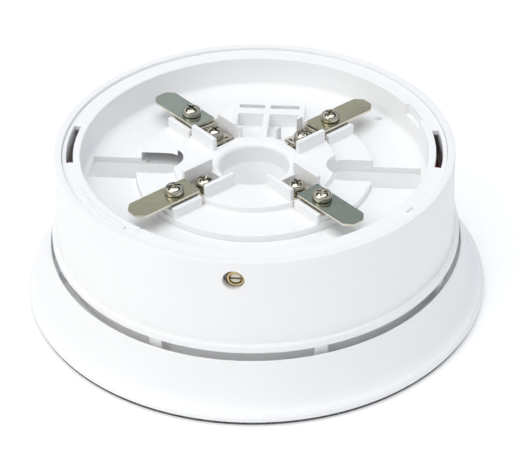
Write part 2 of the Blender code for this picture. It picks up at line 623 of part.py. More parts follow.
def make_contact(number, turn, spring, plated, steel):
    leaf_z = LEAF_TOP_Z - LEAF_T
    half = LEAF_W / 2

    # Sprung end of the leaf; its origin is on the line that it bends about
    reach = LEAF_OUT - LEAF_ROOT
    tip = [(GAP / 2, -half), (reach - LEAF_CLIP, -half), (reach, -half + LEAF_CLIP),
           (reach, half - LEAF_CLIP), (reach - LEAF_CLIP, half), (GAP / 2, half)]
    leaf = prism(f"contact_leaf_{number}", tip, -LEAF_T / 2, LEAF_T / 2)
    set_down(finish(leaf, spring, False), turn, LEAF_ROOT, leaf_z + LEAF_T / 2)

    # Clamped end of the leaf, under the contact screw
    root = [(LEAF_IN, -half), (LEAF_ROOT - GAP / 2, -half), (LEAF_ROOT - GAP / 2, half), (LEAF_IN, half)]
    clamped = prism(f"leaf_root_{number}", root, leaf_z, LEAF_TOP_Z)
    hole = ((CONTACT_SCREW_AT, 0.0, leaf_z), SCREW_HOLE_R, SCREW_HOLE_R, 4.0)
    tool = cylinders(f"leaf_root_hole_{number}", [hole], 12, cutter=True)
    tool.parent = clamped
    cut(clamped, tool)
    set_down(finish(clamped, spring, False), turn)

    # Stepped terminal bracket: low under the clamp, high under the leaf
    riser = GUIDE_STEP[1] - GAP
    low_z = CHANNEL_Z + GAP
    high_z = BRACKET_TOP_Z
    side = [(BRACKET_IN, low_z), (riser, low_z), (riser, high_z - BRACKET_T),
            (PLATFORM_R - 0.9, high_z - BRACKET_T), (PLATFORM_R - 0.9, high_z),
            (riser - BRACKET_T, high_z), (riser - BRACKET_T, low_z + BRACKET_T),
            (BRACKET_IN, low_z + BRACKET_T)]
    bracket = prism(f"terminal_bracket_{number}", side, -BRACKET_W / 2, BRACKET_W / 2, upright=True)
    holes = [((CONTACT_SCREW_AT, 0, high_z), SCREW_HOLE_R, SCREW_HOLE_R, 3.0),
             ((TERMINAL_SCREW_AT, 0, low_z), SCREW_HOLE_R, SCREW_HOLE_R, 3.0)]
    tool = cylinders(f"bracket_holes_{number}", holes, 12, cutter=True)
    tool.parent = bracket
    cut(bracket, tool)
    set_down(finish(bracket, plated, False), turn)

    # Square wire clamp, ribbed underneath, with its terminal screw
    clamp = boxes(f"clamp_plate_{number}", [((-CLAMP_SIDE / 2, -CLAMP_SIDE / 2, 0.0),
                                            (CLAMP_SIDE / 2, CLAMP_SIDE / 2, CLAMP_T), 0.0)])
    tool = cylinders(f"clamp_hole_{number}", [((0, 0, 0), SCREW_HOLE_R, SCREW_HOLE_R, 4.0)], 12, True)
    tool.parent = clamp
    cut(clamp, tool)
    grooves = []
    for i in range(CLAMP_GROOVES):
        at = (i - (CLAMP_GROOVES - 1) / 2) * CLAMP_GROOVE_PITCH
        near, far = at - CLAMP_GROOVE_W / 2, at + CLAMP_GROOVE_W / 2
        grooves.append(((-CLAMP_SIDE, near, -1.0), (CLAMP_SIDE, far, CLAMP_GROOVE_DEPTH), 0.0))
    tool = boxes(f"clamp_grooves_{number}", grooves, cutter=True)
    tool.parent = clamp
    cut(clamp, tool)
    set_down(finish(clamp, plated, False), turn, TERMINAL_SCREW_AT, CLAMP_Z)

    head = CLAMP_Z + CLAMP_T + HEAD_CLEAR
    screw = make_screw(f"terminal_screw_{number}", 0.0, SCREW_TIP_Z - head, steel)
    set_down(screw, turn, TERMINAL_SCREW_AT, head)
    screw.rotation_euler.z = turn + radians(20 + 35 * number)
    head = LEAF_TOP_Z + HEAD_CLEAR
    screw = make_screw(f"contact_screw_{number}", 0.0, SCREW_TIP_Z - head, steel)
    set_down(screw, turn, CONTACT_SCREW_AT, head)
    screw.rotation_euler.z = turn + radians(50 - 25 * number)


# ---------------------------------------------------------------- lock screw and housing screws

def make_lock(brass, steel):
    outer_y = -(DRUM_BORE_R - SEAT_REACH - GAP - 0.3)
    inner_y = -BOWL_R
    length = inner_y - outer_y
    middle = (inner_y + outer_y) / 2
    insert = cylinders("lock_insert", [((0, middle, LOCK_Z), INSERT_R, INSERT_R, length)], 20, along="Y")
    bore = [((0, middle, LOCK_Z), INSERT_BORE_R, INSERT_BORE_R, length + 2)]
    cut(insert, cylinders("lock_insert_bore", bore, 20, cutter=True, along="Y"))
    finish(insert, brass)
    body = [((0, -LOCK_SCREW_L / 2, 0), LOCK_SCREW_R, LOCK_SCREW_R, LOCK_SCREW_L)]
    screw = cylinders("lock_screw", body, 18, along="Y")
    wide, high, deep = LOCK_SLOT
    span = ((-wide / 2, -LOCK_SCREW_L - 1, -high / 2), (wide / 2, deep - LOCK_SCREW_L, high / 2), 0.0)
    slot = boxes("lock_screw_slot", [span], cutter=True)
    slot.parent = screw
    cut(screw, slot)
    screw.location = (0.0, inner_y * MM, LOCK_Z * MM)
    finish(screw, steel)


def make_housing_screws(steel):
    for number, (x, y, _) in enumerate(pillar_places(0.0), 1):
        tip = HOUSING_SCREW_L
        profile = [(0.0, tip), (SCREW_R - SCREW_CHAMFER, tip), (SCREW_R, tip - SCREW_CHAMFER),
                   (SCREW_R, HOUSING_HEAD_H), (HOUSING_HEAD_R, 0.3), (HOUSING_HEAD_R, 0.0), (0.0, 0.0)]
        screw = turned(f"housing_screw_{number}", profile, 12, closed=False)
        screw.location = (x * MM, y * MM, HOUSING_SINK * MM)
        for turn in (0.0, pi / 2):
            low = (-RECESS_L / 2, -RECESS_W / 2, -1.0)
            high = (RECESS_L / 2, RECESS_W / 2, RECESS_DEPTH)
            tool = boxes("housing_screw_recess", [(low, high, turn)], cutter=True)
            tool.parent = screw
            cut(screw, tool)
        finish(screw, steel)


# ---------------------------------------------------------------- sounder

def make_board(laminate):
    radius = DRUM_BORE_R - BOARD_EDGE_GAP
    disc = ((0, 0, BOARD_Z + BOARD_T / 2), radius, radius, BOARD_T)
    board = cylinders("sounder_board", [disc], RING_STEPS)
    holes = [((0.0, CABLE_HOLE_Y, BOARD_Z), TUBE_R + 0.5, TUBE_R + 0.5, 6.0)]
    cut(board, cylinders("board_tube_hole", holes, 32, cutter=True))
    pillars = [(place, PILLAR_R + 0.4, PILLAR_R + 0.4, 6.0) for place in pillar_places(BOARD_Z)]
    cut(board, cylinders("board_pillar_holes", pillars, cutter=True))
    for side in (1, -1):
        outline = well_outline(side, WELL_WALL + GAP)
        cut(board, prism("board_well_hole", outline, BOARD_Z - 2, BOARD_TOP_Z + 2, cutter=True))
    finish(board, laminate, False)


def make_board_parts(black, sleeve, ferrite):
    low_z = BOARD_Z - GAP
    chip_low = (-15.0, -24.0, low_z - 1.6)
    finish(boxes("driver_chip", [(chip_low, (-10.0, -18.0, low_z), 0.0)]), black, False)
    can = [((-22.0, -24.0, low_z - 5.5), 3.2, 3.2, 11.0)]
    finish(cylinders("reservoir_capacitor", can), sleeve)
    spool = [(4.5, low_z), (4.5, low_z - 1.2), (3.3, low_z - 1.2), (3.3, low_z - 5.0), (4.5, low_z - 5.0),
             (4.5, low_z - 6.2), (0.0, low_z - 6.2)]
    coil = turned("boost_inductor", [(0.0, low_z)] + spool, 16, closed=False)
    coil.location = (20.0 * MM, -24.0 * MM, 0.0)
    finish(coil, ferrite)


def make_switch(body_plastic, slider_plastic):
    wide, deep, tall = SWITCH_SIZE
    top = BOARD_Z - GAP
    low = (-wide / 2, SWITCH_Y - deep / 2, top - tall)
    body = boxes("selector_switch", [(low, (wide / 2, SWITCH_Y + deep / 2, top), 0.0)])
    windows = []
    for i in range(SLIDER_COUNT):
        x = (i - (SLIDER_COUNT - 1) / 2) * SLIDER_PITCH
        half = SLIDER_SIDE / 2 + GAP
        reach = SLIDER_SIDE + SLIDER_TRAVEL + 2 * GAP
        windows.append(((x - half, SWITCH_Y - reach / 2, top - tall - 1),
                        (x + half, SWITCH_Y + reach / 2, top - tall - SLIDER_PROUD + SLIDER_H + GAP), 0.0))
        slider = boxes(f"switch_slider_{i + 1}", [((-SLIDER_SIDE / 2, -SLIDER_SIDE / 2, 0.0),
                                                  (SLIDER_SIDE / 2, SLIDER_SIDE / 2, SLIDER_H), 0.0)])
        rest_y = SWITCH_Y - SLIDER_TRAVEL / 2
        slider.location = (x * MM, rest_y * MM, (top - tall - SLIDER_PROUD) * MM)
        finish(slider, slider_plastic, False)
    cut(body, boxes("switch_windows", windows, cutter=True))
    finish(body, body_plastic, False)


def make_resonator(black, brass, ceramic):
    foot = INNER_FOOT_Z
    bore = CUP_R - CUP_WALL
    shelf = DISC_R - 1.2
    profile = [(0.0, foot + 1.5), (shelf, foot + 1.5), (shelf, DISC_Z - 0.1), (bore, DISC_Z - 0.1),
               (bore, foot + CUP_H), (CUP_R, foot + CUP_H), (CUP_R, foot), (0.0, foot)]
    cup = turned("resonator_cup", profile, 24, closed=False)
    cup.location = (0.0, CUP_Y * MM, 0.0)
    low = (-CUP_R - 2, -1.9, DISC_Z + 0.4)
    high = (2 - bore, 1.9, foot + CUP_H - 1.5)
    window = boxes("cup_window", [(low, high, 0.0)], cutter=True)
    window.parent = cup
    cut(cup, window)
    finish(cup, black)
    disc = [((0, CUP_Y, DISC_Z + DISC_T / 2), DISC_R, DISC_R, DISC_T)]
    finish(cylinders("piezo_plate", disc, 28), brass, False)
    wafer_z = DISC_Z + DISC_T + 0.05 + CERAMIC_T / 2
    wafer = [((0, CUP_Y, wafer_z), CERAMIC_R, CERAMIC_R, CERAMIC_T)]
    finish(cylinders("piezo_wafer", wafer, 24), ceramic, False)
    low = foot + CUP_H + 0.1
    cap_profile = [(CUP_R, low + CAP_T), (CUP_R, low), (CAP_HOLE_R, low), (CAP_HOLE_R, low + CAP_T)]
    cap = turned("resonator_cap", cap_profile, 24)
    cap.location = (0.0, CUP_Y * MM, 0.0)
    finish(cap, black)


def lead(name, points, insulation):
    curve = bpy.data.curves.new(name, "CURVE")
    curve.dimensions = "3D"
    curve.bevel_depth = LEAD_R * MM
    curve.bevel_resolution = 2
    curve.use_fill_caps = True
    spline = curve.splines.new("POLY")
    spline.points.add(len(points) - 1)
    for point, place in zip(spline.points, points):
        point.co = (*(Vector(place) * MM), 1.0)
    item = bpy.data.objects.new(name, curve)
    parts.objects.link(item)
    curve.materials.append(insulation)


def make_leads(red, black):
    outside = -CUP_R - LEAD_OFF_CUP
    for name, shift, end_x, end_z, colour in (("piezo_lead_live", 0.75, -12.2, DISC_Z + 1.0, red),
                                              ("piezo_lead_return", -0.75, -8.0, DISC_Z + 1.3, black)):
        y = CUP_Y + shift
        start = Vector((outside, y, BOARD_Z - GAP))
        bends = (start, Vector((outside, y, DISC_Z + 4.0)), Vector((outside + 4.0, y, end_z)),
                 Vector((end_x, y, end_z)))
        route = []
        for i in range(9):
            t = i / 8
            weights = ((1 - t) ** 3, 3 * t * (1 - t) ** 2, 3 * t * t * (1 - t), t ** 3)
            route.append(sum((w * p for w, p in zip(weights, bends)), Vector()))
        lead(name, route, colour)


def make_gasket(foam):
    profile = [(GASKET_R[1], GASKET_T), (GASKET_R[1], 0.0), (GASKET_R[0], 0.0), (GASKET_R[0], GASKET_T)]
    finish(turned("ceiling_gasket", profile), foam)


def build():
    global parts, cutters
    clear_scene()
    parts = new_collection("detector_base_sounder")
    cutters = new_collection("cutters")
    white = material("white_plastic", (0.86, 0.87, 0.88), 0.32)
    spring = material("spring_steel", (0.42, 0.43, 0.38), 0.22, 1.0)
    plated = material("nickel_plate", (0.66, 0.64, 0.58), 0.28, 1.0)
    steel = material("screw_steel", (0.72, 0.71, 0.68), 0.25, 1.0)
    brass = material("brass", (0.72, 0.55, 0.30), 0.32, 1.0)
    laminate = material("red_laminate", (0.32, 0.09, 0.05), 0.5)
    black = material("black_plastic", (0.03, 0.03, 0.035), 0.45)
    ceramic = material("ceramic", (0.80, 0.78, 0.70), 0.4)
    foam = material("foam", (0.10, 0.10, 0.11), 0.9)
    red = material("red_insulation", (0.55, 0.03, 0.03), 0.45)
    make_skirt(white)
    make_drum(white)
    make_deck_ring(white)
    make_terminal_block(white)
    make_sleeves(white)
    for number, turn in enumerate(contact_angles(), 1):
        make_contact(number, turn, spring, plated, steel)
    make_lock(brass, steel)
    make_housing_screws(steel)
    make_board(laminate)
    make_board_parts(black, black, black)
    make_switch(red, white)
    make_resonator(black, brass, ceramic)
    make_leads(red, black)
    make_gasket(foam)


build()
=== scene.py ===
"""Looks of the detector base sounder: fine meshes, materials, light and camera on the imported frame."""
from math import cos, pi, radians, sin, sqrt, tan

import bmesh
import bpy
from mathutils import Matrix, Vector


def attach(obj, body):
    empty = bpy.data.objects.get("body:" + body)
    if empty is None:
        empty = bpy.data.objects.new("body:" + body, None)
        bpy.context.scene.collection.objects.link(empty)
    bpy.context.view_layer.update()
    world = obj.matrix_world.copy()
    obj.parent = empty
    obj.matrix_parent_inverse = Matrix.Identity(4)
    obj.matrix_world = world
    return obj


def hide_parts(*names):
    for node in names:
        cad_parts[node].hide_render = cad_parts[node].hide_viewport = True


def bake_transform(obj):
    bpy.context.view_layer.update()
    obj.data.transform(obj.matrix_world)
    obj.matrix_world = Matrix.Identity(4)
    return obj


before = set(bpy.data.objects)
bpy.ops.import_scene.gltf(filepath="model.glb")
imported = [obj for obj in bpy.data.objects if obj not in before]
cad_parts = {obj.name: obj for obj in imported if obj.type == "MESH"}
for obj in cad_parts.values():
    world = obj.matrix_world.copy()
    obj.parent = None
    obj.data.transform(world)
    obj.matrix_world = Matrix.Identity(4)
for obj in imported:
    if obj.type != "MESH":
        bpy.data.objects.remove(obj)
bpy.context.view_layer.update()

MM = 0.001

# Sizes in millimetres
DRUM_R, SKIRT_R, RIM_Z = 54.0, 64.0, 44.2
DRUM_BORE_R, DRUM_FOOT_R, LIP_R, LIP_Z, LIP_TOP_Z = 51.9, 54.5, 56.3, 17.4, 19.5
SEAT_Z, SEAT_R = 41.5, 50.9
NECK_R, SKIRT_TOP_Z, PLATE_T = 57.5, 15.6, 3.0
RIB_COUNT, RIB_W, RIB_FIRST = 8, 3.6, 22.5
LEDGE_Z, FLANGE_Z, BOWL_R, CUP_OUT_R = 43.4, 41.8, 46.9, 48.6
FLOOR_Z, UNDER_Z, PLATFORM_Z, BOSS_Z = 34.9, 33.2, 36.8, 38.6
PLATFORM_R, BOSS_R, REBATE_R = 32.2, 22.0, 30.9
HOLE_R, HOLE_Y, TUBE_R = 9.4, -1.2, 11.2
WELL_IN, WELL_OUT, WELL_HALF = 19.5, 45.0, 5.0
GUIDE_IN, GUIDE_STEP, GUIDE_OFF, GUIDE_T = 11.2, (20.9, 22.3), 4.1, 1.2
GUIDE_HIGH_Z, GUIDE_LOW_Z, CHANNEL_Z, SEAT_BLOCK_Z = 42.2, 39.7, 35.8, 38.6
POCKET_X = ((-6.6, 0.5), (2.2, 10.3))
POCKET_Y, SLIT_Y = (12.0, 23.8), (26.9, 28.6)
LEAF_TOP_Z, LEAF_T, LEAF_W = 40.7, 0.7, 7.3
LEAF_IN, LEAF_ROOT, LEAF_OUT = 21.6, 31.85, 41.6
CONTACT_SCREW_AT, TERMINAL_SCREW_AT = 27.5, 17.3
BRACKET_IN, BRACKET_T, BRACKET_TOP_Z = 12.6, 0.8, 39.7
CLAMP_Z, CLAMP_T, CLAMP_SIDE = 37.2, 1.0, 7.0
LOCK_Z, LOCK_BORE_R, INNER_FOOT_Z = 38.8, 2.75, 3.3
BOARD_Z, BOARD_T, BOARD_R, BOARD_GAP = 31.3, 1.6, 51.2, 0.3
CUP_Y, CUP_R, DISC_Z, DISC_R = 29.0, 15.8, 12.0, 13.5
PILLAR_AT, PILLAR_R = 40.0, 3.5
SCREW_HOLE_R = 1.7
THREAD_PITCH, THREAD_CREST, THREAD_ROOT = 0.5, 1.35, 1.12
FIXING_LENGTH, FIXING_WIDTH, FIXING_AT = 14.0, 4.6, 33.0
SEAM = 0.03
MERGE, THREAD_SIDES, HOLE_SIDES, ROUND_SIDES = 0.00002, 48, 32, 96
TURNS = [radians(45 + 90 * i) for i in range(4)]


# ---------------------------------------------------------------- node helpers

class Nodes:
    """Short way to write a material's node tree."""

    def __init__(self, name):
        self.material = bpy.data.materials.new(name)
        self.material.use_nodes = True
        self.tree = self.material.node_tree
        self.shader = self.tree.nodes["Principled BSDF"]
        self.place = self.add("ShaderNodeTexCoord").outputs["Object"]

    def add(self, kind, **values):
        node = self.tree.nodes.new(kind)
        for key, value in values.items():
            setattr(node, key, value)
        return node

    def link(self, out, into):
        self.tree.links.new(out, into)

    def noise(self, scale, detail=3.0, roughness=0.5, stretch=None, distortion=0.0):
        node = self.add("ShaderNodeTexNoise")
        node.inputs["Scale"].default_value = scale
        node.inputs["Detail"].default_value = detail
        node.inputs["Roughness"].default_value = roughness
        node.inputs["Distortion"].default_value = distortion
        source = self.place
        if stretch:
            mapping = self.add("ShaderNodeMapping")
            mapping.inputs["Rotation"].default_value = stretch[0]
            mapping.inputs["Scale"].default_value = stretch[1]
            self.link(source, mapping.inputs["Vector"])
            source = mapping.outputs["Vector"]
        self.link(source, node.inputs["Vector"])
        return node.outputs["Fac"]

    def span(self, value, low, high, start=0.3, end=0.7):
        node = self.add("ShaderNodeMapRange")
        node.inputs["From Min"].default_value = start
        node.inputs["From Max"].default_value = end
        node.inputs["To Min"].default_value = low
        node.inputs["To Max"].default_value = high
        self.link(value, node.inputs["Value"])
        return node.outputs["Result"]

    def ramp(self, value, stops):
        node = self.add("ShaderNodeValToRGB")
        ramp = node.color_ramp
        while len(ramp.elements) < len(stops):
            ramp.elements.new(0.5)
        for element, (at, colour) in zip(ramp.elements, stops):
            element.position = at
            element.color = (*colour, 1.0)
        self.link(value, node.inputs["Fac"])
        return node.outputs["Color"]

    def maths(self, operation, first, second):
        node = self.add("ShaderNodeMath", operation=operation)
        for socket, value in zip(node.inputs, (first, second)):
            if isinstance(value, float):
                socket.default_value = value
            else:
                self.link(value, socket)
        return node.outputs["Value"]

    def bump(self, height, strength, distance, before=None):
        node = self.add("ShaderNodeBump")
        node.inputs["Strength"].default_value = strength
        node.inputs["Distance"].default_value = distance
        self.link(height, node.inputs["Height"])
        if before is not None:
            self.link(before, node.inputs["Normal"])
        return node.outputs["Normal"]

    def finish(self, colour, roughness, normal=None, metallic=0.0, **sockets):
        self.link(colour, self.shader.inputs["Base Color"])
        self.link(roughness, self.shader.inputs["Roughness"])
        self.shader.inputs["Metallic"].default_value = metallic
        if normal is not None:
            self.link(normal, self.shader.inputs["Normal"])
        for name, value in sockets.items():
            self.shader.inputs[name.replace("_", " ")].default_value = value
        return self.material


def moulded_plastic(name, dark, light, rough, grain=0.12, painted_glow=0.0):
    """Injection-moulded plastic: faint clouding, uneven gloss, a fine grain and slightly rounded edges, with
    an optional faint glow that is painted light.
    """
    n = Nodes(name)
    cloud = n.noise(28.0, 4.0, 0.55)
    colour = n.ramp(cloud, [(0.25, dark), (0.75, light)])
    gloss = n.span(n.noise(60.0, 4.0, 0.6), rough - 0.02, rough + 0.05, 0.2, 0.8)
    corner = n.add("ShaderNodeBevel", samples=4)
    corner.inputs["Radius"].default_value = 0.00018
    fine = n.bump(n.noise(3200.0, 2.0, 0.6), grain, 0.00002, corner.outputs["Normal"])
    # Emission here is painted light: a faint self-lit glow on plastic that is no lamp.
    n.shader.inputs["Emission Color"].default_value = (0.98, 0.99, 1.0, 1.0)
    return n.finish(colour, gloss, fine, Specular_IOR_Level=0.5, Emission_Strength=painted_glow)


def rolled_metal(name, dark, light, rough, turn=0.0, streak=0.25, tarnish=None):
    """Strip or plated metal, with rolling streaks along its length, fine scratches and light tarnish."""
    n = Nodes(name)
    streaks = n.noise(900.0, 3.0, 0.6, ((0.0, 0.0, -turn), (0.02, 1.0, 1.0)))
    cloud = n.noise(120.0, 4.0, 0.6)
    base = n.ramp(n.maths("ADD", n.maths("MULTIPLY", cloud, 0.7), n.maths("MULTIPLY", streaks, 0.3)),
                  [(0.36, dark), (0.64, light)])
    if tarnish:
        mix = n.add("ShaderNodeMix", data_type="RGBA")
        n.link(n.span(n.noise(260.0, 5.0, 0.7), 0.0, 0.75, 0.55, 0.78), mix.inputs["Factor"])
        n.link(base, mix.inputs["A"])
        mix.inputs["B"].default_value = (*tarnish, 1.0)
        base = mix.outputs["Result"]
    gloss = n.span(streaks, rough - 0.04, rough + 0.06)
    scratches = n.noise(420.0, 2.0, 0.5, ((0.0, 0.0, -turn + 0.5), (0.03, 1.0, 1.0)))
    gloss = n.maths("ADD", gloss, n.span(scratches, 0.0, 0.12, 0.60, 0.72))
    normal = n.bump(streaks, streak, 0.000004)
    wave = n.bump(n.noise(70.0, 2.0, 0.4), 0.25, 0.00003, normal)
    return n.finish(base, gloss, wave, 1.0)


def laminate_board(name):
    """Lacquered circuit board: solder mask over a faint weave."""
    n = Nodes(name)
    weave = n.maths("ADD", n.noise(2600.0, 1.0, 0.5, ((0, 0, 0), (1.0, 0.15, 1.0))),
                    n.noise(2600.0, 1.0, 0.5, ((0, 0, 0), (0.15, 1.0, 1.0))))
    colour = n.ramp(n.maths("MULTIPLY", weave, 0.5),
                    [(0.35, (0.20, 0.045, 0.03)), (0.65, (0.36, 0.10, 0.06))])
    return n.finish(colour, n.span(n.noise(200.0), 0.3, 0.45), n.bump(weave, 0.2, 0.00001))


def foam_rubber(name):
    """Closed-cell foam: open pits on its cut face."""
    n = Nodes(name)
    cells = n.add("ShaderNodeTexVoronoi")
    cells.inputs["Scale"].default_value = 1500.0
    n.link(n.place, cells.inputs["Vector"])
    colour = n.ramp(cells.outputs["Distance"], [(0.1, (0.03, 0.03, 0.033)), (0.8, (0.11, 0.11, 0.12))])
    pits = n.bump(cells.outputs["Distance"], 0.6, 0.00008)
    return n.finish(colour, n.span(n.noise(400.0), 0.75, 0.95), pits)


WHITE = moulded_plastic("white_abs", (0.905, 0.911, 0.918), (0.930, 0.934, 0.938), 0.38)
WHITE_DECK = moulded_plastic("white_abs_deck", (0.918, 0.923, 0.929), (0.940, 0.943, 0.946), 0.40)
# Sleeve plastic with a faint glow: painted light that brightens the deep fixing wells.
SELF_LIT_SLEEVE_WHITE = moulded_plastic("white_abs_painted_glow", (0.918, 0.923, 0.929), (0.940, 0.943, 0.946),
                               0.40, 0.12, 0.10)
# The four leaves are one spring strip in tinted copies: the warm and cool tints are painted reflection, and
# the darker copy is painted shade on the front right leaf.
SPRING_WARM = rolled_metal("spring_strip_warm", (0.37, 0.35, 0.25), (0.43, 0.41, 0.30), 0.12, pi / 4, 0.35)
SPRING_COOL = rolled_metal("spring_strip_cool", (0.31, 0.35, 0.305), (0.37, 0.41, 0.36),
                           0.12, -pi / 4, 0.35)
SPRING_PAINTED_SHADE = rolled_metal("spring_strip_painted_shade", (0.24, 0.27, 0.23), (0.29, 0.32, 0.275),
                           0.12, -pi / 4, 0.35)
NICKEL = rolled_metal("nickel_plate", (0.66, 0.62, 0.54), (0.82, 0.79, 0.72),
                      0.12, 0.0, 0.2, (0.42, 0.33, 0.20))
SCREW = rolled_metal("screw_nickel", (0.42, 0.41, 0.34), (0.58, 0.56, 0.49),
                     0.06, 0.0, 0.1, (0.36, 0.28, 0.13))
DULL_ZINC = rolled_metal("dull_zinc", (0.52, 0.49, 0.40), (0.66, 0.63, 0.54),
                         0.50, 0.0, 0.3, (0.34, 0.24, 0.12))
# Near-black colour for the faces inside the screws' cross recesses: painted shade.
RECESS_PAINTED_SHADE = rolled_metal("screw_recess_painted_shade", (0.07, 0.05, 0.03), (0.20, 0.15, 0.08), 0.32, 0.0, 0.3)
# Bright colour for the leaves' edge faces: a painted glint.
STRIP_EDGE_GLINT = rolled_metal("strip_edge_painted_glint", (0.74, 0.69, 0.58), (0.86, 0.82, 0.72), 0.38, 0.0, 0.3)
BRASS = rolled_metal("brass", (0.50, 0.36, 0.17), (0.68, 0.52, 0.28), 0.42, 0.0, 0.2, (0.32, 0.20, 0.09))
BLACK = moulded_plastic("black_moulding", (0.020, 0.020, 0.022), (0.040, 0.040, 0.043), 0.42, 0.2)
RED = moulded_plastic("red_moulding", (0.42, 0.020, 0.018), (0.56, 0.040, 0.030), 0.36, 0.15)
CERAMIC = moulded_plastic("silvered_ceramic", (0.62, 0.60, 0.54), (0.76, 0.74, 0.68), 0.48, 0.3)
BOARD = laminate_board("red_laminate")
FOAM = foam_rubber("foam_rubber")


# ---------------------------------------------------------------- mesh helpers

def add_object(name, bm):
    mesh = bpy.data.meshes.new(name)
    bm.to_mesh(mesh)
    bm.free()
    item = bpy.data.objects.new(name, mesh)
    bpy.context.scene.collection.objects.link(item)
    return item


def rounded(points, radius, steps=4, closed=False):
    """A polyline with its corners rounded. A point may carry its own radius as a third number."""
    flat = [Vector(p[:2]) for p in points]
    radii = [p[2] if len(p) > 2 else radius for p in points]
    count = len(flat)
    out = []
    for i, corner in enumerate(flat):
        if radii[i] <= 0 or (not closed and i in (0, count - 1)):
            out.append(corner)
            continue
        before = flat[i - 1] - corner
        after = flat[(i + 1) % count] - corner
        angle = before.angle(after)
        if angle > 3.05:
            out.append(corner)
            continue
        cut = min(radii[i] / tan(angle / 2), before.length * 0.48, after.length * 0.48)
        start = corner + before.normalized() * cut
        end = corner + after.normalized() * cut
        for k in range(steps + 1):
            t = k / steps
            out.append((1 - t) ** 2 * start + 2 * t * (1 - t) * corner + t * t * end)
    return [(p.x, p.y) for p in out]


def lathe(name, profile, steps, closed=False, centre=(0.0, 0.0)):
    """Turned solid from (radius, height) points; an open profile is capped with a flat face at each end."""
    bm = bmesh.new()
    rings = []
    for r, z in profile:
        ring = []
        for i in range(steps):
            a = 2 * pi * i / steps
            ring.append(bm.verts.new(((centre[0] + r * cos(a)) * MM, (centre[1] + r * sin(a)) * MM, z * MM)))
        rings.append(ring)
    pairs = list(zip(rings, rings[1:]))
    if closed:
        pairs.append((rings[-1], rings[0]))
    for upper, lower in pairs:
        for i in range(steps):
            j = (i + 1) % steps
            bm.faces.new((upper[i], lower[i], lower[j], upper[j]))
    if not closed:
        bm.faces.new(rings[0])
        bm.faces.new(list(reversed(rings[-1])))
    bmesh.ops.recalc_face_normals(bm, faces=bm.faces)
    return add_object(name, bm)


def extrude(name, corners, step):
    """Solid between a flat face with these corners and its copy, one step away."""
    bm = bmesh.new()
    face = bm.faces.new([bm.verts.new((x * MM, y * MM, z * MM)) for x, y, z in corners])
    raised = bmesh.ops.extrude_face_region(bm, geom=[face])["geom"]
    moved = [part for part in raised if isinstance(part, bmesh.types.BMVert)]
    bmesh.ops.translate(bm, vec=[length * MM for length in step], verts=moved)
    bmesh.ops.recalc_face_normals(bm, faces=bm.faces)
    return add_object(name, bm)


def plate(name, outline, low, high):
    """Flat outline raised from low to high."""
    return extrude(name, [(x, y, low) for x, y in outline], (0, 0, high - low))


def block(name, low, high, turn=0.0, soft=0.0):
    """Box between two corners, with its edges rounded before it is joined to anything."""
    outline = [(low[0], low[1]), (high[0], low[1]), (high[0], high[1]), (low[0], high[1])]
    item = plate(name, outline, low[2], high[2])
    if soft:
        bm = bmesh.new()
        bm.from_mesh(item.data)
        bmesh.ops.bevel(bm, geom=bm.edges[:], offset=soft * MM, offset_type="OFFSET", segments=3, profile=0.5,
                        affect="EDGES")
        bm.to_mesh(item.data)
        bm.free()
    item.data.transform(Matrix.Rotation(turn, 4, "Z"))
    return item


def arc(radius, start, end, count, centre=(0.0, 0.0)):
    angles = [radians(start + (end - start) * i / count) for i in range(count + 1)]
    return [(centre[0] + radius * cos(a), centre[1] + radius * sin(a)) for a in angles]


def polar(radius, angle):
    return (radius * cos(angle), radius * sin(angle))


def sector(radii, degrees, count=24):
    """Outline of a curved slot between two radii and two angles."""
    return arc(radii[1], *degrees, count) + arc(radii[0], degrees[1], degrees[0], count)


def slot(length, width, centre_x):
    """Outline of a straight slot with round ends, along X."""
    half = (length - width) / 2
    return (arc(width / 2, -90, 90, 12, (centre_x + half, 0.0))
            + arc(width / 2, 90, 270, 12, (centre_x - half, 0.0)))


def well_outline(side, grow=0.0, steps=24):
    """Outline of a fixing well: round towards the middle, square towards the rim."""
    half = WELL_HALF + grow
    inner = arc(half, 90, 270, steps, (WELL_IN + WELL_HALF, 0.0))
    points = [(WELL_OUT + grow, half)] + inner + [(WELL_OUT + grow, -half)]
    return [(side * x, side * y) for x, y in points]


def put(item, turn, at=0.0):
    """Moves a piece out along X, then turns it about the middle."""
    item.data.transform(Matrix.Rotation(turn, 4, "Z") @ Matrix.Translation((at * MM, 0, 0)))
    return item


def along_y(item, y, z):
    """Lays an upright turned piece down, so that its top faces the front."""
    item.data.transform(Matrix.Translation((0, y * MM, z * MM)) @ Matrix.Rotation(pi / 2, 4, "X"))
    return item


def combine(item, tool, operation):
    """Applies one exact Boolean and removes the tool."""
    step = item.modifiers.new("Combine", "BOOLEAN")
    step.operation = operation
    step.object = tool
    step.solver = "EXACT"
    graph = bpy.context.evaluated_depsgraph_get()
    graph.update()
    mesh = bpy.data.meshes.new_from_object(item.evaluated_get(graph))
    item.modifiers.clear()
    old = item.data
    item.data = mesh
    bpy.data.meshes.remove(old)
    bpy.data.objects.remove(tool, do_unlink=True)


def cut(item, *tools):
    for tool in tools:
        combine(item, tool, "DIFFERENCE")


def join(item, *tools):
    for tool in tools:
        combine(item, tool, "UNION")


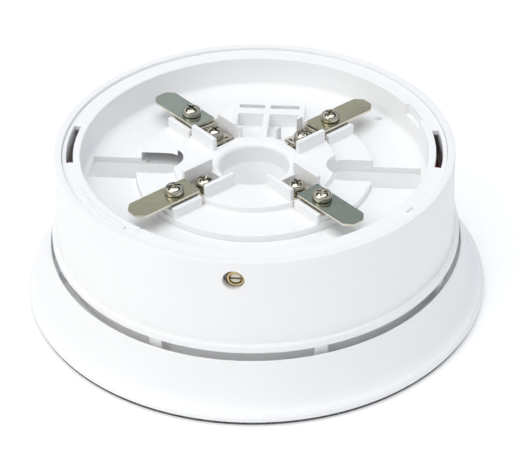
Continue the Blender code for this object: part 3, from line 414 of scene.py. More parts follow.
def soften(item, width, segments=2, least=28.0, where=None):
    """Rounds the outward edges of a finished solid."""
    bm = bmesh.new()
    bm.from_mesh(item.data)
    bmesh.ops.remove_doubles(bm, verts=bm.verts, dist=MERGE)
    bmesh.ops.dissolve_degenerate(bm, edges=bm.edges, dist=0.00001)
    bmesh.ops.dissolve_limit(bm, angle_limit=radians(0.4), verts=bm.verts, edges=bm.edges)
    bm.normal_update()
    chosen = []
    for edge in bm.edges:
        if len(edge.link_faces) != 2 or edge.calc_face_angle_signed(0.0) < radians(least):
            continue
        if where is None or where((edge.verts[0].co + edge.verts[1].co) / 2 / MM):
            chosen.append(edge)
    bmesh.ops.bevel(bm, geom=chosen, offset=width * MM, offset_type="OFFSET", segments=segments, profile=0.5,
                    affect="EDGES", clamp_overlap=False, miter_outer="SHARP", miter_inner="SHARP",
                    loop_slide=True)
    bmesh.ops.remove_doubles(bm, verts=bm.verts, dist=0.000004)
    bmesh.ops.recalc_face_normals(bm, faces=bm.faces)
    bm.to_mesh(item.data)
    bm.free()
    return item


def smooth(item, angle):
    item.data.shade_smooth()
    item.data.set_sharp_from_angle(angle=radians(angle))
    step = item.modifiers.new("Normals", "WEIGHTED_NORMAL")
    step.keep_sharp = True
    step.weight = 60


def show(item, material, body, nodes, angle=35.0):
    """Gives a finished piece its material and its body, and hides the frame's nodes it stands for."""
    bm = bmesh.new()
    bm.from_mesh(item.data)
    bmesh.ops.triangulate(bm, faces=[face for face in bm.faces if len(face.verts) > 4])
    bm.to_mesh(item.data)
    bm.free()
    item.data.materials.clear()
    item.data.materials.append(material)
    smooth(item, angle)
    if body:
        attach(item, body)
    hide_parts(*nodes)
    return item


# ---------------------------------------------------------------- housings

def make_skirt():
    """Flared skirt with its back plate, the sound gap's spacers and a groove round its top."""
    flare_z = SKIRT_TOP_Z - 0.8
    rise = flare_z - 2.8
    reach = SKIRT_R - 0.7 - NECK_R
    groove_r, groove_z = NECK_R - 0.75, SKIRT_TOP_Z - 3.8
    outer = [(groove_r, SKIRT_TOP_Z - 0.25), (NECK_R - 0.55, SKIRT_TOP_Z), (NECK_R - 0.2, SKIRT_TOP_Z - 0.12),
             (NECK_R, SKIRT_TOP_Z - 0.6)]
    flare_steps = 24
    for i in range(1, flare_steps + 1):
        bend = radians(90 * i / flare_steps)
        outer.append((NECK_R + reach * (1 - cos(bend)), flare_z - rise * sin(bend)))
    outer += arc(0.62, 80, 0, 6, (SKIRT_R - 0.62, 2.0))
    # The skirt's outer edge stops short of the floor, so the gasket's dark lip shows under it as a painted
    # shadow line.
    outer += [(SKIRT_R, 1.15), (SKIRT_R - 0.15, 0.95), (62.9, 0.95)]
    recess = [(62.7, 1.5), (57.7, 1.5), (57.7, 0.0), (1.0, 0.0)]
    wall = NECK_R - 2.2
    inner = [(1.0, PLATE_T), (wall - 1.0, PLATE_T), (wall - 0.3, PLATE_T + 0.3), (wall, PLATE_T + 1.0),
             (wall, SKIRT_TOP_Z - 5.6), (52.7, SKIRT_TOP_Z - 5.6), (52.7, SKIRT_TOP_Z - 0.2),
             (52.9, SKIRT_TOP_Z), (53.7, SKIRT_TOP_Z), (53.7, groove_z), (groove_r, groove_z)]
    skirt = lathe("skirt_shell", inner + outer + recess, 240)
    for i in range(RIB_COUNT):
        join(skirt, block("rib", (53.1, -RIB_W / 2, SKIRT_TOP_Z - 4.2), (LIP_R - 0.6, RIB_W / 2, LIP_Z - 0.3),
                          radians(RIB_FIRST + 360 // RIB_COUNT * i)))
    cut(skirt, lathe("hole", [(HOLE_R, PLATE_T + 1), (HOLE_R, -1.0)], ROUND_SIDES, centre=(0.0, HOLE_Y)))
    for a in TURNS:
        countersink = [(SCREW_HOLE_R, PLATE_T + 1), (SCREW_HOLE_R, 1.9), (4.1, -0.5)]
        cut(skirt, lathe("screw_hole", countersink, HOLE_SIDES, centre=polar(PILLAR_AT, a)))
    for side in (1, -1):
        opening = slot(FIXING_LENGTH, FIXING_WIDTH, side * FIXING_AT)
        cut(skirt, plate("fixing_slot", opening, -1.0, PLATE_T + 1))
    soften(skirt, 0.18, 2, 40.0, lambda p: abs(p.z - LIP_Z + 0.3) < 0.2 or (p.z < 3.2 and p.xy.length < 50))
    show(skirt, WHITE, "base", ["flared_skirt"])


def make_drum():
    """Plain drum with a small foot, a seat for the deck's flange and the lock screw's hole."""
    wall = [(DRUM_R - 0.55, RIM_Z), (DRUM_R, RIM_Z, 0.45), (DRUM_FOOT_R + 0.2, LIP_TOP_Z + 0.9, 0.9),
            (DRUM_FOOT_R + 0.5, LIP_TOP_Z + 0.05, 0.35), (LIP_R - 0.05, LIP_TOP_Z, 0.22),
            (LIP_R, LIP_TOP_Z - 0.5, 0.2), (LIP_R - 0.05, LIP_Z, 0.3)]
    bore = [(DRUM_BORE_R, LIP_Z, 0.3), (DRUM_BORE_R, SEAT_Z - 3.0), (SEAT_R, SEAT_Z - 2.0), (SEAT_R, SEAT_Z),
            (DRUM_BORE_R, SEAT_Z), (DRUM_BORE_R, RIM_Z, 0.3)]
    drum = lathe("drum_shell", rounded(wall + bore, 0.0, 6, True), 256, closed=True)
    bore_tool = lathe("bore", [(LOCK_BORE_R, 6.0), (LOCK_BORE_R, -6.0)], 64)
    place = Matrix.Translation((-0.5 * MM, -DRUM_R * MM, LOCK_Z * MM))
    bore_tool.data.transform(place @ Matrix.Rotation(pi / 2, 4, "X"))
    cut(drum, bore_tool)
    soften(drum, 0.22, 3, 50.0, lambda p: p.y < -52.6 and Vector((p.x, p.z - LOCK_Z)).length < 4)
    show(drum, WHITE, "base", ["drum_housing"])


def make_deck_ring():
    """Ledge, bowl and floor in one ring, with pillars under it and the openings through it."""
    profile = [(BOWL_R, LEDGE_Z, 0.45), (51.84, LEDGE_Z, 0.15), (51.84, FLANGE_Z), (CUP_OUT_R, FLANGE_Z),
               (CUP_OUT_R, UNDER_Z), (REBATE_R, UNDER_Z), (REBATE_R, UNDER_Z + 0.6),
               (PLATFORM_R + 0.03, UNDER_Z + 0.6), (PLATFORM_R + 0.03, FLOOR_Z), (BOWL_R, FLOOR_Z, 1.0)]
    ring = lathe("deck_ring_moulding", rounded(profile, 0.0, 5, True), 240, closed=True)
    join(ring, block("lock_block", (-4.0, -50.4, UNDER_Z + 0.5), (4.0, -BOWL_R - 0.4, FLANGE_Z + 0.5)))
    for span in ((-152.0, -126.0), (-34.5, -31.5)):
        join(ring, plate("ledge_rib", sector((49.5, 50.5), span), LEDGE_Z - 0.4, LEDGE_Z + 0.6))
    for a in TURNS:
        join(ring, lathe("pillar", [(PILLAR_R, UNDER_Z + 0.5), (PILLAR_R, INNER_FOOT_Z)], HOLE_SIDES,
                         centre=polar(PILLAR_AT, a)))
    mound = [(0.05, FLOOR_Z + 0.75), (1.2, FLOOR_Z + 0.7), (2.1, FLOOR_Z + 0.45), (2.7, FLOOR_Z),
             (2.75, FLOOR_Z - 0.4)]
    join(ring, lathe("mound", mound, 40, centre=(22.7, -27.0)))
    for x, y, r, deep in ((32.65, 29.8, 0.95, 0.9), (-36.5, 18.0, 1.4, 0.1), (12.0, 41.0, 1.4, 0.1)):
        cut(ring, lathe("dimple", [(r, FLOOR_Z + 1), (r, FLOOR_Z - deep)], HOLE_SIDES, centre=(x, y)))
    cut(ring, lathe("dimple", [(0.6, LEDGE_Z + 1), (0.6, LEDGE_Z - 0.2)], 24, centre=(-25.4, -40.6)))
    for side in (1, -1):
        cut(ring, plate("well", well_outline(side), UNDER_Z - 1, RIM_Z))
    for turn in (0.0, 180.0):
        cut(ring, plate("ledge_slot", sector((48.9, 50.7), (turn - 8.0, turn + 13.0)), FLANGE_Z - 0.5, RIM_Z))
    for a in TURNS:
        cut(ring, lathe("bore", [(SCREW_HOLE_R, INNER_FOOT_Z + 10.0), (SCREW_HOLE_R, INNER_FOOT_Z - 1)], 24,
                        centre=polar(PILLAR_AT, a)))
    cut(ring, plate("notch", sector((BOWL_R - 1.0, CUP_OUT_R - 0.5), (20.0, 31.0)), LEDGE_Z - 3.0, RIM_Z))
    lock_r = LOCK_BORE_R + 0.05
    bore_tool = lathe("bore", [(lock_r, 6.0), (lock_r, -6.0)], 40)
    cut(ring, along_y(bore_tool, -BOWL_R, LOCK_Z))
    soften(ring, 0.16, 2, 40.0, lambda p: p.z > FLOOR_Z - 0.2 and p.xy.length < 51.2)
    show(ring, WHITE_DECK, "base", ["deck_ring"])


def make_terminal_block():
    """Raised middle of the deck: the boss, four pairs of guide walls, and the channels between them."""
    step_z = UNDER_Z + 0.6 + SEAM
    profile = [(2.0, BOSS_Z), (BOSS_R, BOSS_Z, 0.3), (BOSS_R, PLATFORM_Z, 0.3), (PLATFORM_R, PLATFORM_Z, 0.3),
               (PLATFORM_R, step_z), (REBATE_R - 0.03, step_z), (REBATE_R - 0.03, UNDER_Z), (2.0, UNDER_Z)]
    base = lathe("terminal_block_moulding", rounded(profile, 0.0, 4), 160)
    outer = GUIDE_OFF + GUIDE_T
    for turn in TURNS:
        for side in (1, -1):
            near, far = sorted((side * (GUIDE_OFF - 0.1), side * outer))
            join(base, block("tall", (GUIDE_IN, near, PLATFORM_Z - 0.5),
                             (GUIDE_STEP[0], far, GUIDE_HIGH_Z), turn, 0.22))
            join(base, block("low", (GUIDE_STEP[1], near, PLATFORM_Z - 0.5),
                             (PLATFORM_R - 0.6, far, GUIDE_LOW_Z), turn, 0.22))
        join(base, block("seat", (GUIDE_STEP[1] - 0.1, -GUIDE_OFF - 0.5, PLATFORM_Z - 0.6),
                         (PLATFORM_R - 0.7, GUIDE_OFF + 0.5, SEAT_BLOCK_Z), turn, 0.15))
    join(base, block("frame", (POCKET_X[0][0] - 1.6, POCKET_Y[0] - 1.6, PLATFORM_Z - 0.5),
                     (POCKET_X[1][1] + 1.6, SLIT_Y[1] + 1.2, BOSS_Z + 0.2), 0.0, 0.25))
    round_r = 1.2
    mouth = [(HOLE_R + 2.2, BOSS_Z + 1.0)]
    for degrees in range(0, 91, 15):
        a = radians(degrees)
        mouth.append((HOLE_R + round_r - round_r * sin(a), BOSS_Z - round_r + round_r * cos(a)))
    mouth.append((HOLE_R, UNDER_Z - 1.0))
    cut(base, lathe("mouth", mouth, ROUND_SIDES, centre=(0.0, HOLE_Y)))
    for side in (1, -1):
        cut(base, plate("well", well_outline(side), UNDER_Z - 1, RIM_Z))
    play = 0.01
    for turn in TURNS:
        # No face of this tool lies in a plane with the walls' faces or with another tool's top
        clear_z = RIM_Z + 0.37 * turn
        cut(base, block("channel", (GUIDE_IN + 0.83, play - GUIDE_OFF, CHANNEL_Z),
                        (GUIDE_STEP[1] + 0.23, GUIDE_OFF - play, clear_z), turn))
        for reach in (CONTACT_SCREW_AT, TERMINAL_SCREW_AT):
            cut(base, lathe("hole", [(SCREW_HOLE_R, BOSS_Z + 1), (SCREW_HOLE_R, 34.0)], 24,
                            centre=polar(reach, turn)))
    for low_x, high_x in POCKET_X:
        cut(base, block("pocket", (low_x, POCKET_Y[0], FLOOR_Z), (high_x, POCKET_Y[1], RIM_Z)))
        cut(base, block("slit", (low_x, SLIT_Y[0], FLOOR_Z), (high_x, SLIT_Y[1], RIM_Z)))
    for x, y in ((-3.2, 16.8), (4.4, 17.2), (7.4, 16.4)):
        cut(base, lathe("pin", [(0.6, FLOOR_Z + 1), (0.6, FLOOR_Z - 3)], 16, centre=(x, y)))
    show(base, WHITE_DECK, "base", ["terminal_block"])


def make_sleeves():
    """Thin-walled tubes from the deck to the back plate: one for the cables, one under each well. Their
    plastic glows faintly, painted light that brightens the wells.
    """
    top = UNDER_Z - SEAM
    foot = INNER_FOOT_Z
    profile = [(HOLE_R, top, SEAM), (TUBE_R, top, 0.2), (TUBE_R, foot, 0.2), (HOLE_R, foot, 0.2)]
    sleeve = lathe("cable_sleeve_moulding", rounded(profile, 0.2, 3, True), ROUND_SIDES, closed=True,
                   centre=(0.0, HOLE_Y))
    show(sleeve, SELF_LIT_SLEEVE_WHITE, "base", ["cable_sleeve"])
    for side, word in ((1, "right"), (-1, "left")):
        well = plate(f"well_sleeve_{word}_moulding", well_outline(side, 1.3), foot, top)
        cut(well, plate("space", well_outline(side), foot + 2.0, RIM_Z))
        opening = slot(FIXING_LENGTH, FIXING_WIDTH, side * FIXING_AT)
        cut(well, plate("slot", opening, foot - 1, foot + 3))
        soften(well, 0.2, 2, 40.0)
        show(well, SELF_LIT_SLEEVE_WHITE, "base", [f"well_sleeve_{word}"])


# ---------------------------------------------------------------- contacts

def make_leaf(number, turn, material):
    """One spring strip that bends past its root, with a painted highlight on its edges."""
    half = LEAF_W / 2
    nip, nip_r = 2.0, 1.2
    corners = [(LEAF_IN, -half, 0.5), (LEAF_OUT - nip, -half, nip_r), (LEAF_OUT, -half + nip, nip_r),
               (LEAF_OUT, half - nip, nip_r), (LEAF_OUT - nip, half, nip_r), (LEAF_IN, half, 0.5)]
    outline = rounded(corners, 0.5, 5, True)
    leaf = plate(f"leaf_strip_{number}", outline, LEAF_TOP_Z - LEAF_T, LEAF_TOP_Z)
    cut(leaf, lathe("hole", [(SCREW_HOLE_R, LEAF_TOP_Z + 1), (SCREW_HOLE_R, LEAF_TOP_Z - 2)], HOLE_SIDES,
                    centre=(CONTACT_SCREW_AT, 0.0)))
    soften(leaf, 0.1, 2, 40.0)
    bm = bmesh.new()
    bm.from_mesh(leaf.data)
    bend_cuts, bend_step = 26, 0.35
    for i in range(bend_cuts):
        at = (LEAF_ROOT - 1.2 + bend_step * i) * MM
        bmesh.ops.bisect_plane(bm, geom=bm.verts[:] + bm.edges[:] + bm.faces[:], plane_co=(at, 0, 0),
                               plane_no=(1, 0, 0), dist=1e-7)
    bm.to_mesh(leaf.data)
    bm.free()
    put(leaf, turn)
    show(leaf, material, None, [f"leaf_root_{number}", f"contact_leaf_{number}"], 30.0)
    # The edge faces take the bright colour, a painted highlight.
    leaf.data.materials.append(STRIP_EDGE_GLINT)
    for face in leaf.data.polygons:
        face.material_index = 1 if abs(face.normal.z) < 0.6 else 0
    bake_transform(leaf)


def make_bracket(number, turn):
    """Stepped strip: the low end takes the wire, the high end carries the leaf, and two hooks hold it."""
    riser = GUIDE_STEP[1] - 0.3
    low_z, high_z, t = CHANNEL_Z + 0.3, BRACKET_TOP_Z, BRACKET_T
    outer = PLATFORM_R - 0.9
    side = rounded([(BRACKET_IN, low_z, 0.1), (riser, low_z, 0.75), (riser, high_z - t, 0.2),
                    (outer, high_z - t, 0.1), (outer, high_z, 0.1), (riser - t, high_z, 0.75),
                    (riser - t, low_z + t, 0.2), (BRACKET_IN, low_z + t, 0.1)], 0.1, 4, True)
    half, hook = 3.5, 4.9
    bracket = extrude(f"bracket_{number}", [(x, -half, z) for x, z in side], (0, 2 * half, 0))
    for way in (1, -1):
        near, far = sorted((way * (half - 0.2), way * hook))
        join(bracket, block("ear", (riser - t, near, high_z - 1.9), (riser, far, high_z - 1.1)))
        near, far = sorted((way * 4.3, way * hook))
        join(bracket, block("leg", (riser - t + 0.05, near, PLATFORM_Z + 0.1),
                            (riser - 0.05, far, high_z - 1.2)))
    for at in (CONTACT_SCREW_AT, TERMINAL_SCREW_AT):
        cut(bracket, lathe("hole", [(SCREW_HOLE_R, 42.0), (SCREW_HOLE_R, 34.0)], 28, centre=(at, 0.0)))
    for y in (-1.75, 1.75):
        cut(bracket, block("window", (BRACKET_IN - 1.0, y - 0.55, low_z - 1),
                           (BRACKET_IN + 1.0, y + 0.55, low_z + 2)))
    soften(bracket, 0.07, 2, 40.0)
    put(bracket, turn)
    show(bracket, NICKEL, "base", [f"terminal_bracket_{number}"], 30.0)


def make_clamp(number, turn):
    """Square wire clamp: four windows, and teeth under it."""
    half = CLAMP_SIDE / 2
    clamp = block(f"wire_clamp_{number}", (-half, -half, CLAMP_Z + 0.3), (half, half, CLAMP_Z + CLAMP_T))
    teeth, tooth_pitch = 9, 0.7
    for i in range(teeth):
        y = -2.8 + tooth_pitch * i
        join(clamp, block("tooth", (-half + 0.3, y - 0.18, CLAMP_Z), (half - 0.3, y + 0.18, CLAMP_Z + 0.35)))
    cut(clamp, lathe("hole", [(SCREW_HOLE_R, 42.0), (SCREW_HOLE_R, 34.0)], 28))
    for y in (-1.9, 1.9):
        cut(clamp, block("window", (-half + 0.55, y - 0.75, 36.0), (-half + 1.35, y + 0.75, 40.0)))
        cut(clamp, block("window", (half - 1.35, y - 0.75, 36.0), (half - 0.55, y + 0.75, 40.0)))
    soften(clamp, 0.07, 2, 40.0)
    put(clamp, turn, TERMINAL_SCREW_AT)
    show(clamp, NICKEL, f"clamp_{number}", [f"clamp_plate_{number}"], 30.0)


def pan_screw(name, head_r, head_h, head_z, tip_z, place, spin):
    """Pan head with a cross recess over a threaded shank; also says which faces lie in the recess."""
    crown = 0.30
    dome = [(0.05, head_h)]
    side_h = 0.38 * head_h
    for i in range(13):
        a = radians(90 * i / 12)
        dome.append((head_r * (crown + 0.70 * sin(a)), side_h + (head_h - side_h) * cos(a)))
    dome += [(head_r, 0.12), (head_r - 0.12, 0.0)]
    tip = tip_z - head_z
    shank = [(THREAD_CREST, 0.0)]
    z = -0.25
    while z > tip + 0.6:
        shank += [(THREAD_CREST, z), (THREAD_ROOT, z - THREAD_PITCH / 2)]
        z -= THREAD_PITCH
    shank += [(THREAD_ROOT, tip + 0.4), (0.7, tip), (0.05, tip)]
    screw = lathe(name, dome + shank, THREAD_SIDES)
    deep = 0.95
    for turn, wide in ((0.0, 2 * head_r - 0.9), (pi / 2, 3.0)):
        bm = bmesh.new()
        w, top, bottom, slope = 0.34, head_h + 0.3, head_h - deep, 0.6
        corners = []
        for z_at, reach in ((top, wide / 2 + 0.2), (bottom, wide / 2 - slope)):
            corners.append([bm.verts.new((x * MM, y * MM, z_at * MM)) for x, y in
                            ((-reach, -w), (reach, -w), (reach, w), (-reach, w))])
        upper, lower = corners
        bm.faces.new(upper)
        bm.faces.new(list(reversed(lower)))
        for i in range(4):
            j = (i + 1) % 4
            bm.faces.new((upper[j], upper[i], lower[i], lower[j]))
        bmesh.ops.recalc_face_normals(bm, faces=bm.faces)
        bm.transform(Matrix.Rotation(turn, 4, "Z"))
        cut(screw, add_object("recess", bm))
    soften(screw, 0.04, 2, 45.0, lambda p: p.z > 0.5 and p.xy.length < head_r * 0.8)
    inside = []
    for face in screw.data.polygons:
        spot = face.center / MM
        reach = max(0.0, min(1.0, (spot.xy.length / head_r - crown) / 0.70))
        surface = side_h + (head_h - side_h) * sqrt(1.0 - reach * reach)
        inside.append(0.05 < spot.z < surface - 0.07 and spot.xy.length < head_r * 0.93)
    shift = Matrix.Translation((place[0] * MM, place[1] * MM, head_z * MM))
    screw.data.transform(shift @ Matrix.Rotation(spin, 4, "Z"))
    return screw, inside


def make_screws(number, turn):
    tip_z = 34.4
    spots = (("terminal_screw", TERMINAL_SCREW_AT, CLAMP_Z + CLAMP_T + 0.1, 2.5, 2.5, 20 + 35 * number),
             ("contact_screw", CONTACT_SCREW_AT, LEAF_TOP_Z + 0.1, 2.65, 2.2, 50 - 25 * number))
    for word, at, head_z, head_r, head_h, spin in spots:
        screw, inside = pan_screw(f"{word}_{number}_fine", head_r, head_h, head_z, tip_z, polar(at, turn),
                                  turn + radians(spin))
        body = f"terminal_screw_{number}" if word == "terminal_screw" else "base"
        show(screw, SCREW, body, [f"{word}_{number}"], 40.0)
        # Faces inside the cross recess take the near-black colour, painted shade.
        screw.data.materials.append(RECESS_PAINTED_SHADE)
        for face, recessed in zip(screw.data.polygons, inside):
            face.material_index = int(recessed)


# ---------------------------------------------------------------- lock, fastenings and sounder

def make_lock():
    """Slotted grub screw in its brass insert, in the drum's front."""
    profile = [(2.2, 4.6, 0.2), (2.2, -1.85, 0.25), (1.7, -1.85, 0.1), (1.7, 4.6, 0.15)]
    insert = lathe("lock_insert_turning", rounded(profile, 0.2, 3, True), 48, closed=True)
    show(along_y(insert, -48.6, LOCK_Z), BRASS, "base", ["lock_insert"])
    crest, root = 1.45, 1.22
    profile = [(0.05, 3.75), (1.3, 3.75), (1.55, 3.5), (1.55, 2.3), (crest, 2.15)]
    z = 2.0
    while z > -1.9:
        profile += [(crest, z), (root, z - THREAD_PITCH / 2)]
        z -= THREAD_PITCH
    profile += [(1.2, -2.2), (0.9, -2.35), (0.05, -2.35)]
    screw = lathe("lock_screw_fine", profile, 40)
    cut(screw, block("slot", (-2.0, -0.3, 2.85), (2.0, 0.3, 4.5)))
    show(along_y(screw, -BOWL_R - 2.35, LOCK_Z), DULL_ZINC, "lock_screw", ["lock_screw"], 40.0)


def make_housing_screws():
    for number, a in enumerate(TURNS, 1):
        profile = [(0.05, 9.0), (0.9, 9.0)]
        z = 8.6
        while z > 2.0:
            profile += [(THREAD_CREST, z), (THREAD_ROOT, z - THREAD_PITCH / 2)]
            z -= THREAD_PITCH
        profile += [(THREAD_CREST, 1.6), (2.8, 0.3), (2.8, 0.05), (2.7, 0.0), (0.05, 0.0)]
        screw = lathe(f"housing_screw_{number}_fine", profile, 40)
        for turn in (0.0, pi / 2):
            cut(screw, block("recess", (-1.4, -0.35, -1.0), (1.4, 0.35, 0.9), turn))
        place = Vector((*polar(PILLAR_AT, a), 0.2)) * MM
        screw.data.transform(Matrix.Translation(place) @ Matrix.Rotation(0.4 * number, 4, "Z"))
        show(screw, SCREW, "base", [f"housing_screw_{number}"], 40.0)


def make_board():
    """Sounder board under the deck, with the parts that hang from it."""
    over, under = 40.0, 20.0
    board = lathe("circuit_board", [(BOARD_R, BOARD_Z + BOARD_T), (BOARD_R, BOARD_Z)], 160)
    tube_gap_r = TUBE_R + 0.5
    cut(board, lathe("hole", [(tube_gap_r, over), (tube_gap_r, under)], ROUND_SIDES, centre=(0.0, HOLE_Y)))
    for a in TURNS:
        cut(board, lathe("hole", [(3.9, over), (3.9, under)], HOLE_SIDES, centre=polar(PILLAR_AT, a)))
    for side in (1, -1):
        cut(board, plate("hole", well_outline(side, 1.6), under, over))
    soften(board, 0.08, 1, 40.0)
    show(board, BOARD, "base", ["sounder_board"])
    top = BOARD_Z - BOARD_GAP
    chip = block("driver_chip_body", (-15.0, -24.0, BOARD_Z - 1.9), (-10.0, -18.0, top))
    soften(chip, 0.15, 2)
    show(chip, BLACK, "base", ["driver_chip"])
    can_r = 3.2
    profile = [(0.1, top), (can_r, top, 0.4), (can_r, BOARD_Z - 1.6, 0.3), (can_r - 0.3, BOARD_Z - 2.0, 0.3),
               (can_r, BOARD_Z - 2.4, 0.3), (can_r, BOARD_Z - 11.3, 0.5), (0.1, BOARD_Z - 11.3)]
    can = lathe("capacitor_can", rounded(profile, 0.3, 4), THREAD_SIDES, centre=(-22.0, -24.0))
    show(can, BLACK, "base", ["reservoir_capacitor"])
    spool = [(0.1, top), (4.5, top, 0.2), (4.5, top - 1.2, 0.2), (3.4, top - 1.2)]
    for i in range(10):
        z = top - 1.35 - 0.36 * i
        spool += [(3.5, z), (3.3, z - 0.18)]
    spool += [(3.4, top - 5.0), (4.5, top - 5.0, 0.2), (4.5, top - 6.2, 0.2), (0.1, top - 6.2)]
    coil = lathe("inductor_spool", rounded(spool, 0.0, 3), THREAD_SIDES, centre=(20.0, -24.0))
    show(coil, BLACK, "base", ["boost_inductor"])


def make_switch():
    """Four-way selector switch with a slider in each window."""
    wide, deep, tall, spacing = 11.6, 6.2, 3.0, 2.54
    top = BOARD_Z - BOARD_GAP
    middle_y = -30.0
    body = block("selector_switch_body", (-wide / 2, middle_y - deep / 2, top - tall),
                 (wide / 2, middle_y + deep / 2, top))
    for i in range(4):
        x = (i - 1.5) * spacing
        cut(body, block("window", (x - 0.85, middle_y - 1.65, top - tall - 1),
                        (x + 0.85, middle_y + 1.65, top - 1.7)))
    soften(body, 0.12, 2)
    show(body, RED, "base", ["selector_switch"])
    for i in range(4):
        x = (i - 1.5) * spacing
        z = top - tall - 0.7
        slider = block(f"slider_{i + 1}", (x - 0.55, middle_y - 1.35, z),
                       (x + 0.55, middle_y - 0.25, z + 1.7))
        soften(slider, 0.1, 2)
        show(slider, WHITE, f"switch_{i + 1}", [f"switch_slider_{i + 1}"])


def make_resonator():
    """Piezo disc on a shelf inside a cup, with a ring over it."""
    foot, bore, shelf, tall = INNER_FOOT_Z, CUP_R - 1.5, DISC_R - 1.2, 17.0
    profile = [(0.1, foot + 1.5), (shelf, foot + 1.5, 0.5), (shelf, DISC_Z - 0.1), (bore, DISC_Z - 0.1),
               (bore, foot + tall, 0.2), (CUP_R, foot + tall, 0.2), (CUP_R, foot, 0.6), (0.1, foot)]
    cup = lathe("resonator_cup_moulding", rounded(profile, 0.0, 4), ROUND_SIDES, centre=(0.0, CUP_Y))
    cut(cup, block("window", (-CUP_R - 2, CUP_Y - 1.9, DISC_Z + 0.4), (2 - bore, CUP_Y + 1.9, foot + 15.5)))
    show(cup, BLACK, "base", ["resonator_cup"])
    profile = [(DISC_R - 0.05, DISC_Z + 0.25), (DISC_R, DISC_Z + 0.2), (DISC_R, DISC_Z + 0.05),
               (DISC_R - 0.05, DISC_Z)]
    disc = lathe("piezo_plate_stamping", profile, ROUND_SIDES, centre=(0.0, CUP_Y))
    show(disc, BRASS, "base", ["piezo_plate"])
    profile = [(9.95, DISC_Z + 0.55), (10.0, DISC_Z + 0.5), (10.0, DISC_Z + 0.3)]
    wafer = lathe("piezo_wafer_ceramic", profile, ROUND_SIDES, centre=(0.0, CUP_Y))
    show(wafer, CERAMIC, "base", ["piezo_wafer"])
    low = foot + 17.1
    profile = [(CUP_R, low + 1.6, 0.4), (CUP_R, low, 0.1), (3.0, low, 0.2), (3.0, low + 1.6, 0.4)]
    cap = lathe("resonator_cap_moulding", rounded(profile, 0.0, 4, True), ROUND_SIDES, closed=True,
                centre=(0.0, CUP_Y))
    show(cap, BLACK, "base", ["resonator_cap"])


def make_gasket():
    # The foam ring is real, but its outer lip reaches out to the skirt's edge: a dark band that is partly
    # real foam and partly a painted shadow line under the skirt.
    profile = [(62.5, 1.2, 0.1), (62.6, 0.85, 0.05), (63.7, 0.8, 0.15), (63.6, 0.0, 0.1), (58.0, 0.0, 0.1),
               (58.0, 1.2, 0.25)]
    ring = lathe("gasket_ring_and_shadow_band", rounded(profile, 0.0, 3, True), 240, closed=True)
    show(ring, FOAM, "base", ["ceiling_gasket"])


def carry_over():
    """The two leads keep the frame's shape and only take a material."""
    for name, material, slot_name in (("piezo_lead_live", RED, "red_plastic"),
                                      ("piezo_lead_return", BLACK, "black_plastic")):
        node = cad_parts[name]
        node.data.materials.clear()
        node.data.materials.append(material)
        node.data.shade_smooth()


# ---------------------------------------------------------------- stage

def make_floor():
    bm = bmesh.new()
    bmesh.ops.create_grid(bm, x_segments=8, y_segments=8, size=3.0)
    floor = add_object("floor", bm)
    floor.location.z = -0.0002
    n = Nodes("pale_floor")
    colour = n.ramp(n.noise(3.0, 2.0, 0.5), [(0.2, (0.76, 0.76, 0.76)), (0.8, (0.78, 0.78, 0.78))])
    n.shader.inputs["Emission Color"].default_value = (1.0, 1.0, 1.0, 1.0)
    n.shader.inputs["Emission Strength"].default_value = 0.30
    gloss = n.span(n.noise(9.0), 0.6, 0.7)
    floor.data.materials.append(n.finish(colour, gloss, None, 0.0, Specular_IOR_Level=0.2))


def make_world():
    """A white room, brighter overhead and to the left, with a dark band high up that polished metal shows."""
    world = bpy.data.worlds.new("studio")
    bpy.context.scene.world = world
    world.use_nodes = True
    tree = world.node_tree

    def add(kind, **values):
        node = tree.nodes.new(kind)
        for key, value in values.items():
            setattr(node, key, value)
        return node

    background = tree.nodes["Background"]
    place = add("ShaderNodeTexCoord").outputs["Generated"]
    split = add("ShaderNodeSeparateXYZ")
    tree.links.new(place, split.inputs["Vector"])
    ramp = add("ShaderNodeValToRGB")
    levels = [(0.0, 0.38), (0.26, 0.46), (0.45, 0.90), (0.65, 0.90), (0.70, 0.08), (0.85, 0.05), (0.87, 1.7),
              (1.0, 2.4)]
    top = 2.4
    while len(ramp.color_ramp.elements) < len(levels):
        ramp.color_ramp.elements.new(0.5)
    for element, (at, level) in zip(ramp.color_ramp.elements, levels):
        element.position = at
        element.color = (0.985 * level / top, level / top, 1.02 * level / top, 1.0)
    tree.links.new(split.outputs["Z"], ramp.inputs["Fac"])
    side = add("ShaderNodeVectorMath", operation="DOT_PRODUCT")
    tree.links.new(place, side.inputs[0])
    side.inputs[1].default_value = (-0.80, -0.60, 0.0)
    tint = add("ShaderNodeValToRGB")
    tint.color_ramp.elements[0].color = (0.94, 0.975, 1.03, 1.0)
    tint.color_ramp.elements[1].color = (1.03, 1.005, 0.965, 1.0)
    share = add("ShaderNodeMapRange")
    share.inputs["From Min"].default_value = -1.0
    tree.links.new(side.outputs["Value"], share.inputs["Value"])
    tree.links.new(share.outputs["Result"], tint.inputs["Fac"])
    tinted = add("ShaderNodeMix", data_type="RGBA", blend_type="MULTIPLY")
    tinted.inputs["Factor"].default_value = 1.0
    tree.links.new(ramp.outputs["Color"], tinted.inputs["A"])
    tree.links.new(tint.outputs["Color"], tinted.inputs["B"])
    tree.links.new(tinted.outputs["Result"], background.inputs["Color"])
    gain = add("ShaderNodeMapRange")
    gain.inputs["From Min"].default_value = -1.0
    gain.inputs["To Min"].default_value = 0.80 * top
    gain.inputs["To Max"].default_value = 1.19 * top
    tree.links.new(side.outputs["Value"], gain.inputs["Value"])
    tree.links.new(gain.outputs["Result"], background.inputs["Strength"])


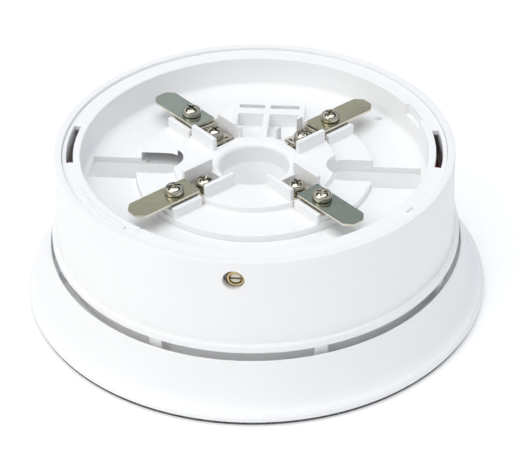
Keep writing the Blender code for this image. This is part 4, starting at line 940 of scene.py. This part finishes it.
def area_light(name, azimuth, elevation, distance, size, power, colour):
    light = bpy.data.lights.new(name, "AREA")
    light.shape = "RECTANGLE"
    light.size, light.size_y = size
    light.energy = power
    light.color = colour
    item = bpy.data.objects.new(name, light)
    a, e = radians(azimuth), radians(elevation)
    item.location = Vector((sin(a) * cos(e), -cos(a) * cos(e), sin(e))) * distance
    item.rotation_euler = item.location.to_track_quat("Z", "Y").to_euler()
    bpy.context.scene.collection.objects.link(item)


def make_camera():
    """Front view from a little to the right and 36 degrees up, with a slight roll."""
    azimuth, elevation, roll, distance = radians(5.4), radians(35.80), radians(0.824), 0.5031
    data = bpy.data.cameras.new("camera")
    data.sensor_width = 36.0
    data.lens = 124.2
    data.clip_start = 0.01
    camera = bpy.data.objects.new("camera", data)
    bpy.context.scene.collection.objects.link(camera)
    back = Vector((sin(azimuth) * cos(elevation), -cos(azimuth) * cos(elevation), sin(elevation)))
    right = Vector((cos(azimuth), sin(azimuth), 0.0))
    up = back.cross(right)
    aim = Matrix.Rotation(azimuth, 3, "Z") @ Vector((0.00143, 0.0, 0.01415))
    rolled_right = cos(roll) * right - sin(roll) * up
    rolled_up = sin(roll) * right + cos(roll) * up
    axes = Matrix((rolled_right, rolled_up, back)).transposed().to_4x4()
    camera.matrix_world = Matrix.Translation(aim + back * distance) @ axes
    bpy.context.scene.camera = camera


make_skirt()
make_drum()
make_deck_ring()
make_terminal_block()
make_sleeves()
for number, turn in enumerate(TURNS, 1):
    # Each leaf takes its own copy of the strip: painted reflection, and painted shade on the fourth.
    make_leaf(number, turn, (SPRING_WARM, SPRING_COOL, SPRING_WARM, SPRING_PAINTED_SHADE)[number - 1])
    make_bracket(number, turn)
    make_clamp(number, turn)
    make_screws(number, turn)
make_lock()
make_housing_screws()
make_board()
make_switch()
make_resonator()
make_gasket()
carry_over()
make_floor()
make_world()
area_light("key", -50.0, 50.0, 1.2, (0.8, 0.8), 3.0, (1.0, 0.99, 0.97))
make_camera()
bpy.context.scene.view_settings.view_transform = "Standard"
